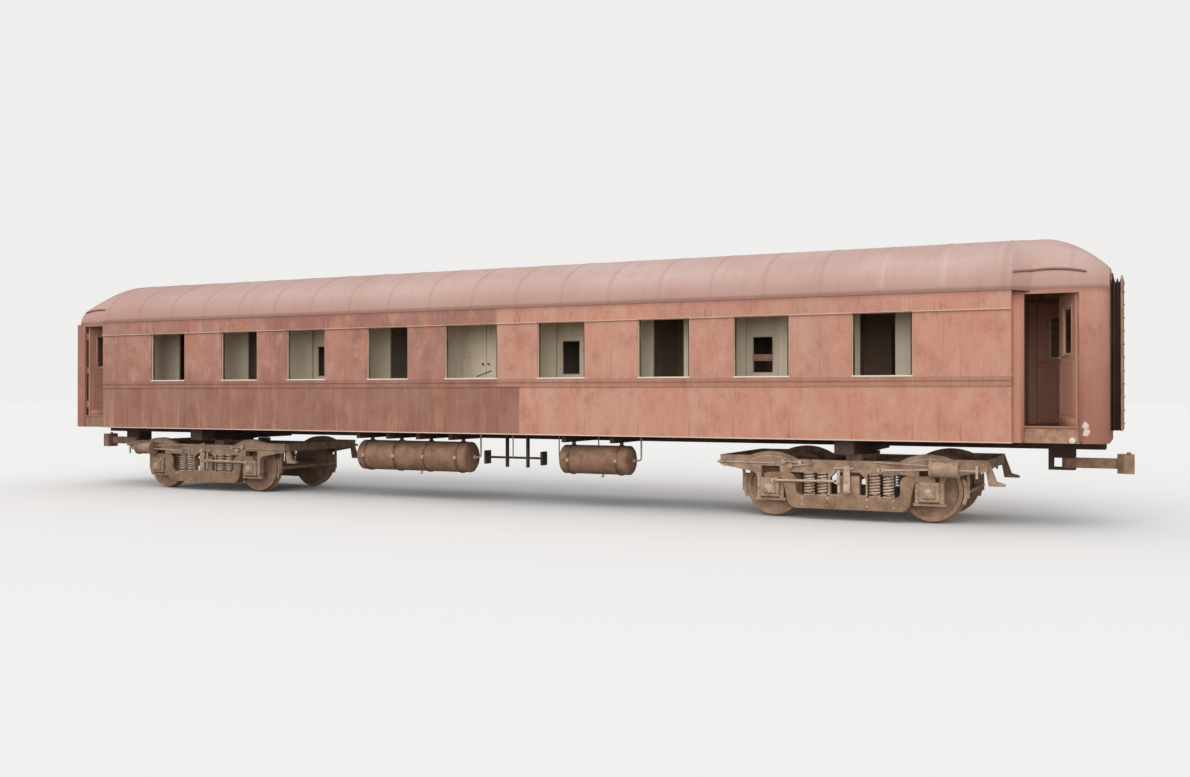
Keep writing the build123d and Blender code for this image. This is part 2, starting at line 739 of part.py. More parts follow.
def rain_strips(outer, grown):
    """Curved rain strips over the side doors and the end door, proud of the roof's skin."""
    side = extrude(Plane.XZ * arc_face(ARC_X0, ARC_X1, ARC_Z, ARC_RISE), HALF_W + 100, dir=(0, -1, 0))
    across = Plane(origin=(END_X - 200, 0, 0), x_dir=(0, 1, 0), z_dir=(1, 0, 0))
    end = extrude(across * arc_face(-END_ARC_HALF, END_ARC_HALF, END_ARC_Z, END_ARC_RISE), 400, dir=(1, 0, 0))
    strips = []
    for prism in (side, mirrored_y(side), end):
        strip = (prism & grown) - outer
        strips += strip.solids()
        strips += mirrored_x(strip).solids()
    return strips


def roof():
    outer = roof_body(0.0, 0.0)
    inner = roof_body(ROOF_T, ROOF_T)
    grown = roof_body(-ARC_PROUD, -ARC_PROUD)
    shell = outer - inner
    for strip in rain_strips(outer, grown):
        shell += strip
    lip = span(-SIDE_END_X, SIDE_END_X, -HALF_W - EAVE_LIP, -HALF_W + 20, EAVE_Z, EAVE_Z + EAVE_LIP_H)
    shell += lip
    shell += mirrored_y(lip)
    return shell


def vestibule():
    """Right-hand vestibule shell in plan: two side walls, rounded corners and the end wall."""
    def plan(inset):
        x0 = SIDE_END_X
        x1 = END_X - inset
        w = VEST_HALF_W - inset
        r = CORNER_R - inset
        box = Rectangle(x1 - x0 + r, 2 * w)
        box = Pos((x0 - r + x1) / 2, 0) * box
        corners = box.vertices().filter_by(lambda v: v.X > x0)
        rounded = fillet(corners, r)
        keep = Pos((x0 + x1 + r) / 2, 0) * Rectangle(x1 - x0 + r, 2 * w + 10)
        return rounded & keep
    height = EAVE_Z - SILL_Z
    shell = Pos(0, 0, SILL_Z) * extrude(plan(0.0) - plan(WALL), height, dir=(0, 0, 1))
    for side in (-1, 1):
        y0 = min(side * (VEST_HALF_W - WALL - 20), side * (VEST_HALF_W + 20))
        y1 = max(side * (VEST_HALF_W - WALL - 20), side * (VEST_HALF_W + 20))
        shell -= span(DOOR_X0, DOOR_X1, y0, y1, SILL_Z - 1, DOOR_TOP)
    shell -= span(
        END_X - WALL - 20, END_X + 20, -END_DOOR_HALF, END_DOOR_HALF, FLOOR_Z, DOOR_TOP
    )
    for z in HINGE_Z:
        for side in (-1, 1):
            shell += side_lug(side, z + HINGE_H / 2 + HINGE_GAP)
            shell += side_lug(side, z - HINGE_H / 2 - HINGE_GAP - LUG_T)
        shell += end_lug(z + HINGE_H / 2 + HINGE_GAP)
        shell += end_lug(z - HINGE_H / 2 - HINGE_GAP - LUG_T)
    return shell


SIDE_PIVOT_X = DOOR_X1 - DOOR_CLEAR
SIDE_PIVOT_Y = VEST_HALF_W - WALL - HINGE_OUT
END_PIVOT_X = END_X - WALL - HINGE_OUT
END_PIVOT_Y = END_DOOR_HALF - DOOR_CLEAR


def side_lug(side, z):
    x0 = SIDE_PIVOT_X - HINGE_R
    x1 = DOOR_X1 + 30
    y0 = min(side * (SIDE_PIVOT_Y - HINGE_R), side * (SIDE_PIVOT_Y + HINGE_R))
    y1 = max(side * (SIDE_PIVOT_Y - HINGE_R), side * (SIDE_PIVOT_Y + HINGE_R))
    return span(x0, x1, y0, y1, z, z + LUG_T)


def end_lug(z):
    y0 = END_PIVOT_Y - HINGE_R
    y1 = END_DOOR_HALF + 30
    x0 = END_PIVOT_X - HINGE_R
    x1 = END_PIVOT_X + HINGE_R
    return span(x0, x1, y0, y1, z, z + LUG_T)


def side_door_leaf(side):
    """Side door, shut, at the right-hand end, with its hinge barrels on the end-side jamb."""
    x0 = DOOR_X0 + DOOR_CLEAR + 4
    x1 = SIDE_PIVOT_X
    outer = VEST_HALF_W - DOOR_OUT
    inner = outer - DOOR_T
    y0 = min(side * outer, side * inner)
    y1 = max(side * outer, side * inner)
    leaf = span(x0, x1, y0, y1, FLOOR_Z + DOOR_CLEAR, DOOR_TOP - DOOR_CLEAR)
    middle = (x0 + x1) / 2
    leaf -= span(
        middle - DOOR_WIN_W / 2,
        middle + DOOR_WIN_W / 2,
        y0 - 10,
        y1 + 10,
        DOOR_WIN_LOW,
        DOOR_WIN_HIGH,
    )
    for z in HINGE_Z:
        z0 = z - HINGE_H / 2
        z1 = z + HINGE_H / 2
        py = side * SIDE_PIVOT_Y
        leaf += Pos(SIDE_PIVOT_X, py, z) * Cylinder(HINGE_R, HINGE_H)
        y_leaf = side * inner
        leaf += span(SIDE_PIVOT_X - 46, SIDE_PIVOT_X, min(py, y_leaf), max(py, y_leaf), z0, z1)
    return leaf


def end_door_leaf():
    """Gangway door, shut, at the right-hand end, hinged on its +Y edge and swinging inward."""
    x1 = END_X - DOOR_OUT
    x0 = x1 - DOOR_T
    y1 = END_PIVOT_Y
    y0 = -END_DOOR_HALF + DOOR_CLEAR + 4
    leaf = span(x0, x1, y0, y1, FLOOR_Z + DOOR_CLEAR, DOOR_TOP - DOOR_CLEAR)
    leaf -= span(x0 - 10, x1 + 10, -DOOR_WIN_W / 2, DOOR_WIN_W / 2, DOOR_WIN_LOW, DOOR_WIN_HIGH)
    for z in HINGE_Z:
        leaf += Pos(END_PIVOT_X, END_PIVOT_Y, z) * Cylinder(HINGE_R, HINGE_H)
        leaf += span(END_PIVOT_X, x0, END_PIVOT_Y - 46, END_PIVOT_Y, z - HINGE_H / 2, z + HINGE_H / 2)
    return leaf


def bulkhead():
    x0 = SIDE_END_X - BULKHEAD_T
    inner = VEST_HALF_W - WALL
    wall = span(x0, SIDE_END_X, -inner, inner, FLOOR_Z, EAVE_Z)
    wall -= span(x0 - 10, SIDE_END_X + 10, PASSAGE_Y[0], PASSAGE_Y[1], FLOOR_Z - 1, PASSAGE_TOP)
    return wall


def floor():
    half = SIDE_END_X - RETURN_T
    inner = HALF_W - WALL
    plate = span(-half, half, -inner, inner, FLOOR_Z - FLOOR_T, FLOOR_Z)
    end = END_X - WALL
    y = VEST_HALF_W - WALL
    lobby = span(-end, end, -y, y, FLOOR_Z - FLOOR_T, FLOOR_Z)
    lobby = fillet(lobby.edges().filter_by(Axis.Z), CORNER_R - WALL)
    plate += lobby
    x0 = DOOR_X0 + STEP_BOX_IN
    x1 = DOOR_X1 - STEP_BOX_IN
    well = span(x0, x1, y - STEP_BOX_D, y + 1, FLOOR_Z - FLOOR_T, FLOOR_Z)
    for cut in both_sides(well):
        plate -= cut
        plate -= mirrored_x(cut)
    return plate


def sills():
    """Two centre sills and two side sills, the beams that run the length of the coach."""
    top = FLOOR_Z - FLOOR_T
    end = END_X - WALL
    inner = HALF_W - WALL
    half = CENTRE_SILL_W / 2
    centre = span(-end, end, -CENTRE_SILL_Y - half, -CENTRE_SILL_Y + half, CENTRE_SILL_LOW, top)
    side_end = SIDE_END_X - RETURN_T
    side = span(-side_end, side_end, -inner, -inner + SILL_BEAM_W, SILL_Z, top)
    return both_sides(centre) + both_sides(side)


def bearer_row(x, width, low, outer):
    """One cross bearer in its three stretches between the sills."""
    top = FLOOR_Z - FLOOR_T
    near = CENTRE_SILL_Y - CENTRE_SILL_W / 2
    far = CENTRE_SILL_Y + CENTRE_SILL_W / 2
    x0 = x - width / 2
    x1 = x + width / 2
    return [
        span(x0, x1, -outer, -far, low, top),
        span(x0, x1, -near, near, low, top),
        span(x0, x1, far, outer, low, top),
    ]


def cross_bearers():
    inner = HALF_W - WALL - SILL_BEAM_W
    vest = VEST_HALF_W - WALL - STEP_BOX_D
    bars = []
    for x in BEARERS:
        bars += bearer_row(x, BEARER_W, BEARER_LOW, inner)
    for side in (-1, 1):
        bars += bearer_row(side * (END_X - WALL - BEARER_W / 2), BEARER_W, SILL_Z, vest)
        bars += bearer_row(side * (SIDE_END_X - RETURN_T - BEARER_W / 2), BEARER_W, SILL_Z, inner)
    for x in LONG_BANDS + SHORT_BANDS:
        bars.append(bearer_row(x, TANK_BEARER_W, CENTRE_SILL_LOW, inner)[0])
    return bars


def body_bolster(x):
    """Cross beam over a bogie: middle block with the upper centre plate, and an arm to each side sill."""
    inner = HALF_W - WALL - SILL_BEAM_W
    gap = CENTRE_SILL_Y + CENTRE_SILL_W / 2
    half = BODY_BOLSTER_HALF
    bolster = span(x - half, x + half, -gap, gap, BODY_BOLSTER_LOW, CENTRE_SILL_LOW)
    bolster += rod((x, 0, CENTRE_PLATE_TOP + PIVOT_GAP), (x, 0, BODY_BOLSTER_LOW), CENTRE_PLATE_R)
    arm = span(x - half, x + half, gap, inner, BODY_BOLSTER_LOW + ARM_RISE, FLOOR_Z - FLOOR_T)
    bearing = span(
        x - UPPER_BEARING_X,
        x + UPPER_BEARING_X,
        SIDE_BEARING_Y - UPPER_BEARING_W,
        SIDE_BEARING_Y + UPPER_BEARING_W,
        CENTRE_PLATE_TOP + SIDE_BEARING_RISE,
        BODY_BOLSTER_LOW + ARM_RISE,
    )
    for piece in both_sides(arm) + both_sides(bearing):
        bolster += piece
    return bolster


def step_box(x_side, y_side):
    """Closed box below a side door, where the threshold is."""
    x0 = DOOR_X0 + STEP_BOX_IN
    x1 = DOOR_X1 - STEP_BOX_IN
    y1 = VEST_HALF_W - STEP_BOX_IN
    y0 = VEST_HALF_W - WALL - STEP_BOX_D
    box = span(x0, x1, y0, y1, SILL_Z, FLOOR_Z - 3)
    top_front = box.edges().filter_by(Axis.X).sort_by(lambda e: e.center().Y + e.center().Z)[-1]
    box = fillet(top_front, STEP_R)
    if y_side < 0:
        box = mirrored_y(box)
    if x_side < 0:
        box = mirrored_x(box)
    return box


def doorways():
    """First and last X of each doorway between the corridor and the rooms, in order."""
    ways = []
    for index, (x, width) in enumerate(WINDOWS):
        middle = x + ROOM_DOOR_SHIFT
        half = ROOM_DOOR_W / 2
        if index == PANTRY_ROOM:
            middle = PANTRY_SEAM
            half = PANTRY_LEAF_W + LEAF_GAP
        ways.append((middle - half, middle + half))
    return ways


def corridor_header():
    """Strip of the corridor wall above the doors, with the rails that the room doors hang from."""
    y0 = CORRIDOR_Y
    y1 = CORRIDOR_Y + PARTITION_T
    header = span(-LOBBY_X, LOBBY_X, y0, y1, ROOM_DOOR_TOP, CEILING_Z)
    rail_z = ROOM_DOOR_TOP + LEAF_RISE + HINGE_GAP
    for index in CLOSED_ROOMS:
        x0 = doorways()[index][0] - LEAF_LAP
        x1 = x0 + ROOM_DOOR_W + 2 * LEAF_LAP + ROOM_DOOR_TRAVEL
        header += span(x0, x1, y1, y1 + LEAF_GAP + LEAF_T, rail_z, rail_z + DOOR_RAIL_H)
    return header


def corridor_panels():
    """Panels of the corridor wall between the doorways; two carry the hinge lugs of the pair of leaves."""
    y0 = CORRIDOR_Y
    edges = [-LOBBY_X]
    for x0, x1 in doorways():
        edges += [x0, x1]
    edges.append(LOBBY_X)
    panels = []
    for x0, x1 in zip(edges[0::2], edges[1::2]):
        panels.append(span(x0, x1, y0, y0 + PARTITION_T, FLOOR_Z, ROOM_DOOR_TOP))
    for index, side in ((PANTRY_ROOM, -1), (PANTRY_ROOM + 1, 1)):
        pivot_x = PANTRY_SEAM + side * PANTRY_PIVOT
        ends = (pivot_x - side * PANTRY_HINGE_R, pivot_x + side * PANTRY_LUG_REACH)
        lug_y = PANTRY_PIVOT_Y - PANTRY_HINGE_R
        for z in PANTRY_HINGE_Z:
            for low in (z + HINGE_H / 2 + HINGE_GAP, z - HINGE_H / 2 - HINGE_GAP - LUG_T):
                panels[index] += span(min(ends), max(ends), lug_y, y0, low, low + LUG_T)
    return panels


def lobby_walls():
    """Wall across the end of the corridor wall and the one that runs on to the bulkhead."""
    x1 = SIDE_END_X - BULKHEAD_T
    cross = span(LOBBY_X, LOBBY_X + PARTITION_T, CORRIDOR_Y, LOBBY_Y, FLOOR_Z, CEILING_Z)
    run = span(LOBBY_X, x1, LOBBY_Y, LOBBY_Y + PARTITION_T, FLOOR_Z, CEILING_Z)
    return cross + run


def room_walls():
    """Cross partitions, one between each two windows."""
    walls = []
    y0 = CORRIDOR_Y + PARTITION_T
    y1 = HALF_W - WALL
    for (left_x, left_w), (right_x, right_w) in zip(WINDOWS[:-1], WINDOWS[1:]):
        x = ((left_x + left_w / 2) + (right_x - right_w / 2)) / 2
        walls.append(span(x - PARTITION_T / 2, x + PARTITION_T / 2, y0, y1, FLOOR_Z, CEILING_Z))
    return walls


def ceiling():
    x1 = SIDE_END_X - BULKHEAD_T
    half = HALF_W - WALL - CEILING_IN
    return span(-x1, x1, -half, half, CEILING_Z, CEILING_Z + CEILING_T)


def room_door(index):
    """Sliding door of a room, shut, hung inside the corridor wall, with its upper window cut."""
    x = WINDOWS[index][0] + ROOM_DOOR_SHIFT
    y0 = CORRIDOR_Y + PARTITION_T + LEAF_GAP
    y1 = y0 + LEAF_T
    half = ROOM_DOOR_W / 2 + LEAF_LAP
    leaf = span(x - half, x + half, y0, y1, FLOOR_Z + LEAF_GAP, ROOM_DOOR_TOP + LEAF_RISE)
    leaf -= span(x - LEAF_WIN_W / 2, x + LEAF_WIN_W / 2, y0 - 1, y1 + 1, LEAF_WIN_LOW, LEAF_WIN_HIGH)
    return leaf


def pantry_leaf(side):
    """One of a pair of doors that meet in the middle room, hinged on its outer edge."""
    x_in = PANTRY_SEAM + side * PANTRY_GAP
    x_out = PANTRY_SEAM + side * PANTRY_PIVOT
    y0 = CORRIDOR_Y + PANTRY_LEAF_BACK
    leaf = span(min(x_in, x_out), max(x_in, x_out), y0, y0 + LEAF_T, FLOOR_Z + LEAF_GAP,
                ROOM_DOOR_TOP - LEAF_GAP)
    knob_x = PANTRY_SEAM + side * KNOB_IN
    leaf += rod((knob_x, y0, KNOB_Z), (knob_x, y0 - KNOB_OUT, KNOB_Z), KNOB_R)
    for z in PANTRY_HINGE_Z:
        leaf += Pos(x_out, PANTRY_PIVOT_Y, z) * Cylinder(PANTRY_HINGE_R, HINGE_H)
        strap_x = x_out - side * PANTRY_LUG_REACH
        leaf += span(min(strap_x, x_out), max(strap_x, x_out), PANTRY_PIVOT_Y, y0,
                     z - HINGE_H / 2, z + HINGE_H / 2)
    return leaf


def shutter(x, width):
    y0 = HALF_W - WALL + 20
    return span(x - width / 2, x + width / 2, y0, y0 + SHUTTER_T, WIN_LOW, WIN_HIGH)


def gangway_ring(x0, x1, grow):
    half = GANGWAY_HALF + grow
    top = GANGWAY_TOP + grow
    outer = span(x0, x1, -half, half, GANGWAY_LOW, top)
    outer = fillet(outer.edges().filter_by(Axis.X).group_by(Axis.Z)[-1], 120)
    hole = span(x0 - 1, x1 + 1, -GANGWAY_TUNNEL, GANGWAY_TUNNEL, FLOOR_Z + 12, DOOR_TOP + 60)
    return outer - hole


def gangway_bellows():
    """Folded hood round the way through, drawn as rings that are wide and narrow by turns."""
    step = GANGWAY_LEN / (2 * FOLDS)
    bellows = None
    for index in range(2 * FOLDS):
        grow = 0.0 if index % 2 == 0 else -FOLD_DEPTH
        ring = gangway_ring(END_X + index * step, END_X + (index + 1) * step, grow)
        bellows = ring if bellows is None else bellows + ring
    return bellows


def coupler():
    """Automatic coupler at the right-hand end: shank, head and closed knuckle."""
    z = COUPLER_Z
    x0 = COUPLER_PIVOT_X
    x1 = COUPLER_FACE_X
    head_x = x1 - HEAD_LEN
    palm = SHANK_W / 2 + HEAD_PALM
    shank = span(x0, head_x, -SHANK_W / 2, SHANK_W / 2, z - SHANK_H / 2, z + SHANK_H / 2)
    eye = Pos(x0, 0, z) * Cylinder(SHANK_W / 2 + EYE_WALL, SHANK_H)
    outline = (
        (head_x, -palm),
        (head_x + HEAD_LEN * 0.4, -HEAD_HORN + 20),
        (x1, -HEAD_HORN),
        (x1, -HEAD_HORN + JAW_LIP),
        (x1 - JAW_DEEP, -palm),
        (x1 - JAW_DEEP, JAW_SIDE),
        (x1 - KNUCKLE_SET, JAW_SIDE),
        (x1, 2 * JAW_SIDE),
        (x1 - 3 * KNUCKLE_SET, palm + JAW_LIP),
        (head_x + 30, palm + JAW_LIP),
        (head_x, palm),
    )
    face = make_face(Polyline(*outline, close=True))
    head = Pos(0, 0, z - HEAD_H / 2) * extrude(face, HEAD_H, dir=(0, 0, 1))
    bore = Pos(x0, 0, z) * Cylinder(PIN_R + PIN_CLEAR, SHANK_H + 2)
    return shank + eye + head - bore


def draft_pocket():
    """Hanging plates that carry the coupler's pin, below the centre sills."""
    x0 = COUPLER_PIVOT_X - POCKET_BACK
    x1 = COUPLER_PIVOT_X + POCKET_FRONT
    z0 = COUPLER_Z - SHANK_H / 2 - PIVOT_GAP
    z1 = COUPLER_Z + SHANK_H / 2 + PIVOT_GAP
    half = CENTRE_SILL_Y - CENTRE_SILL_W / 2
    wide = half + POCKET_CHEEK
    pocket = span(x0, x1, -wide, wide, z1, z1 + POCKET_T)
    pocket += span(x0, x1, -wide, wide, z0 - POCKET_T, z0)
    pocket += span(x0, x0 + 2 * POCKET_T, -wide, wide, z0, CENTRE_SILL_LOW)
    for cheek in both_sides(span(x0, x1, half, wide, z1 + POCKET_T, CENTRE_SILL_LOW)):
        pocket += cheek
    return pocket + Pos(COUPLER_PIVOT_X, 0, COUPLER_Z) * Cylinder(PIN_R, z1 - z0 + POCKET_T)


def tank(x0, x1, radius, z, y, bands):
    """Air or water tank with dished ends, hung from the bearers by bands."""
    outline = (
        (0.0, x0),
        (radius * 0.55, x0 + TANK_DISH * 0.2),
        (radius * 0.88, x0 + TANK_DISH * 0.6),
        (radius, x0 + TANK_DISH),
        (radius, x1 - TANK_DISH),
        (radius * 0.88, x1 - TANK_DISH * 0.6),
        (radius * 0.55, x1 - TANK_DISH * 0.2),
        (0.0, x1),
    )
    face = make_face(Polyline(*outline, close=True))
    body = Rot(0, 0, -90) * revolve(face, Axis.Y)
    body = Pos(0, y, z) * body
    for band_x in bands:
        ring = rod((band_x - TANK_BAND_W / 2, y, z), (band_x + TANK_BAND_W / 2, y, z), radius + TANK_BAND_T)
        body += ring
        hook_x = TANK_BAND_W / 2
        hook = span(band_x - hook_x, band_x + hook_x, y - TANK_HOOK_W, y + TANK_HOOK_W, z, CENTRE_SILL_LOW)
        body += hook
    return body


def floor_brake_gear():
    """Brake rod between two levers, on hangers from a long plate below the floor."""
    y = GEAR_Y
    z = GEAR_Z
    x0, x1 = GEAR_X
    gear = rod((x0, y, z), (x1, y, z), GEAR_ROD_R)
    plate_z = CENTRE_SILL_LOW + GEAR_PLATE_RISE
    wide = GEAR_PLATE_W
    for x in GEAR_HANGERS:
        half = GEAR_BAR / 2
        gear += span(x - half, x + half, y - GEAR_HANGER_W, y + GEAR_HANGER_W, z - GEAR_DROP, plate_z)
    gear += span(x0 + GEAR_PLATE_IN, x1 - GEAR_PLATE_IN, y - wide, y + wide, plate_z, FLOOR_Z - FLOOR_T)
    for lever_x in (x0, x1 - GEAR_BAR):
        gear += span(lever_x, lever_x + GEAR_BAR, y - LEVER_HALF, y + LEVER_HALF, z - LEVER_UP, z + LEVER_UP)
    return gear


def at_bogie(shape, side):
    """A right-hand bogie piece moved to one end of the coach; the left one is turned about."""
    if side < 0:
        shape = Rot(0, 0, 180) * shape
    return Pos(side * BOGIE_X, 0, 0) * shape


ENDS = (("right", 1), ("left", -1))

bolster_shape = bogie_bolster()
box_shapes = []
equalizer_shapes = []
spring_shapes = []
for plate in equalizer():
    equalizer_shapes += both_sides(plate)
seat_shapes = []
for seat in spring_seats():
    seat_shapes += both_sides(seat)
for axle in (-AXLE_X, AXLE_X):
    box_shapes += both_sides(journal_box(axle))
for sign in (-1, 1):
    for distance in SPRING_X:
        spring_shapes += both_sides(spring(sign * distance))
brake_shapes = bogie_brakes() + [brake_cylinder(-1), brake_cylinder(1)]
axle_shape = Pos(0, 0, AXLE_Z) * wheelset_solid()

for name, side in ENDS:
    save(group([at_bogie(bogie_frame(side), side)]), "bogie_frame_" + name)
    save(group([at_bogie(bolster_shape, side)]), "bogie_bolster_" + name)
    save(group([at_bogie(shape, side) for shape in box_shapes]), "axle_boxes_" + name)
    save(group([at_bogie(shape, side) for shape in equalizer_shapes]), "equalizers_" + name)
    save(group([at_bogie(shape, side) for shape in seat_shapes]), "spring_seats_" + name)
    save(group([at_bogie(shape, side) for shape in spring_shapes]), "springs_" + name)
    save(group([at_bogie(shape, side) for shape in brake_shapes]), "bogie_brakes_" + name)
    save(at_bogie(Pos(AXLE_X, 0, 0) * axle_shape, side), "wheelset_" + name + "_outer")
    save(at_bogie(Pos(-AXLE_X, 0, 0) * axle_shape, side), "wheelset_" + name + "_inner")

near_wall = side_wall()
save(near_wall, "side_wall_corridor")
save(mirrored_y(near_wall), "side_wall_rooms")
save(roof(), "roof")
save(floor(), "floor")
save(group(sills()), "sills")
save(group(cross_bearers()), "cross_bearers")
save(group([draft_pocket(), mirrored_x(draft_pocket())]), "coupler_pockets")
save(group([body_bolster(BOGIE_X), body_bolster(-BOGIE_X)]), "body_bolsters")
save(group([bulkhead(), mirrored_x(bulkhead())]), "bulkheads")
save(corridor_header(), "corridor_header")
save(group(corridor_panels()), "corridor_panels")
save(group([lobby_walls(), mirrored_x(lobby_walls())]), "lobby_walls")
save(group(room_walls()), "room_walls")
save(ceiling(), "ceiling")
save(group([shutter(x, width) for x, width in WINDOWS]), "window_shutters")
steps = [step_box(sx, sy) for sx in (-1, 1) for sy in (-1, 1)]
save(group(steps), "step_boxes")

right_shell = vestibule()
right_bellows = gangway_bellows()
face_plate = gangway_ring(END_X + GANGWAY_LEN, END_X + GANGWAY_LEN + FACE_T, 30)
right_coupler = coupler()
save(right_shell, "vestibule_right")
save(Rot(0, 0, 180) * right_shell, "vestibule_left")
save(group([right_bellows, mirrored_x(right_bellows)]), "gangway_bellows")
save(group([face_plate, mirrored_x(face_plate)]), "gangway_faces")
save(right_coupler, "coupler_right")
save(Rot(0, 0, 180) * right_coupler, "coupler_left")

near_door = side_door_leaf(-1)
pivot = Pos(SIDE_PIVOT_X, -SIDE_PIVOT_Y, 0)
opened = pivot * (Rot(0, 0, -OPEN_RIGHT_DEG) * (pivot.inverse() * near_door))
save(opened, "side_door_right_corridor")
save(side_door_leaf(1), "side_door_right_rooms")
left_near = mirrored_x(near_door)
pivot_left = Pos(-SIDE_PIVOT_X, -SIDE_PIVOT_Y, 0)
opened_left = pivot_left * (Rot(0, 0, OPEN_LEFT_DEG) * (pivot_left.inverse() * left_near))
save(opened_left, "side_door_left_corridor")
save(Rot(0, 0, 180) * near_door, "side_door_left_rooms")
save(end_door_leaf(), "end_door_right")
save(Rot(0, 0, 180) * end_door_leaf(), "end_door_left")

for index in CLOSED_ROOMS:
    save(room_door(index), "room_door_" + str(index + 1))
save(pantry_leaf(-1), "pantry_door_left")
save(pantry_leaf(1), "pantry_door_right")

save(tank(*LONG_TANK[:3], LONG_TANK[3], TANK_Y, LONG_BANDS), "long_tank")
save(tank(*SHORT_TANK[:3], SHORT_TANK[3], SHORT_TANK_Y, SHORT_BANDS), "short_tank")
save(floor_brake_gear(), "floor_brake_gear")
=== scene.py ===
# %% [markdown]
# The coach stands parked and empty: faded oxide red sides, a chalky lilac roof, dusty brown bogies
# and bare window openings that show a pale corridor wall. The solid model gives every piece its
# place and size, and this script gives each one its finish and adds the small work on top of it.

import json
import math

import bpy
import numpy as np
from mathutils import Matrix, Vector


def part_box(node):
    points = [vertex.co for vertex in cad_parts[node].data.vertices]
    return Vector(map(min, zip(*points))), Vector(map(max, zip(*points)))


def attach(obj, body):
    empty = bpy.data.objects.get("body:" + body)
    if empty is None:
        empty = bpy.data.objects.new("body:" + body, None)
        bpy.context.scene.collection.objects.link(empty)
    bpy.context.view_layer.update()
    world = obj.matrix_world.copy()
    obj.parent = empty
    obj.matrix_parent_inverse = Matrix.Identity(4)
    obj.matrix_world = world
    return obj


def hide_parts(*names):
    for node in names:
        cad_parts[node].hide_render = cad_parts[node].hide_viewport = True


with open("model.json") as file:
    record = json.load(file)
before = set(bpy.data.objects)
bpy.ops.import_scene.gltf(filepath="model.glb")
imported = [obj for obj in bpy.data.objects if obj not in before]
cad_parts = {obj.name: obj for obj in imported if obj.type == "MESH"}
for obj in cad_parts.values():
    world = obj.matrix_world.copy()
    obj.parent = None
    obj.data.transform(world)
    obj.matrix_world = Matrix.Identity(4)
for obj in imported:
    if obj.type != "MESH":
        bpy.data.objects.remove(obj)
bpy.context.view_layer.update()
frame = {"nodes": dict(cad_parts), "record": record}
nodes = frame["nodes"]

# %% [markdown]
# The camera stands where the photograph was taken: just beyond the right-hand end, a little lower
# than the belt rail, and turned by 26 degrees towards the coach. Its place was worked out from the
# level lines of the body, which all meet in two vanishing points.

# %% Camera
PHOTO_WIDTH = 1190
FOCAL_LENGTH_PX = 1157.0
SENSOR_WIDTH = 36.0
EYE = (10.65, -18.75, 1.953)
TURN_DEG = 25.55
PITCH_DEG = 0.25
SIGHT = 400.0


def stand(name, data, place, turned):
    """A camera or a lamp put in the scene."""
    obj = bpy.data.objects.new(name, data)
    obj.location = place
    obj.rotation_euler = [math.radians(angle) for angle in turned]
    bpy.context.scene.collection.objects.link(obj)
    return obj


camera_data = bpy.data.cameras.new("camera")
camera_data.sensor_fit = "HORIZONTAL"
camera_data.sensor_width = SENSOR_WIDTH
camera_data.lens = SENSOR_WIDTH * FOCAL_LENGTH_PX / PHOTO_WIDTH
camera_data.clip_end = SIGHT
bpy.context.scene.camera = stand("camera", camera_data, EYE, (90 + PITCH_DEG, 0, TURN_DEG))
print("lens:", round(camera_data.lens, 2), "mm")

# %% [markdown]
# The sky, the floor and every finish are built from the same few moves: add a node, join two
# sockets, mix two colours, turn a value into a soft mask. A small class keeps those moves short, so
# that a finish reads as a list of coats. Patterns use Object coordinates, which are metres here.

# %% Helpers for finishes
def tone(red, green, blue):
    """A colour given as screen values from 0 to 255, made linear for the shader."""
    def linear(value):
        """v / 12.92 for the darkest values, and ((v + 0.055) / 1.055) ^ 2.4 above them."""
        value /= 255.0
        return value / 12.92 if value <= 0.04045 else ((value + 0.055) / 1.055) ** 2.4
    return (linear(red), linear(green), linear(blue), 1.0)


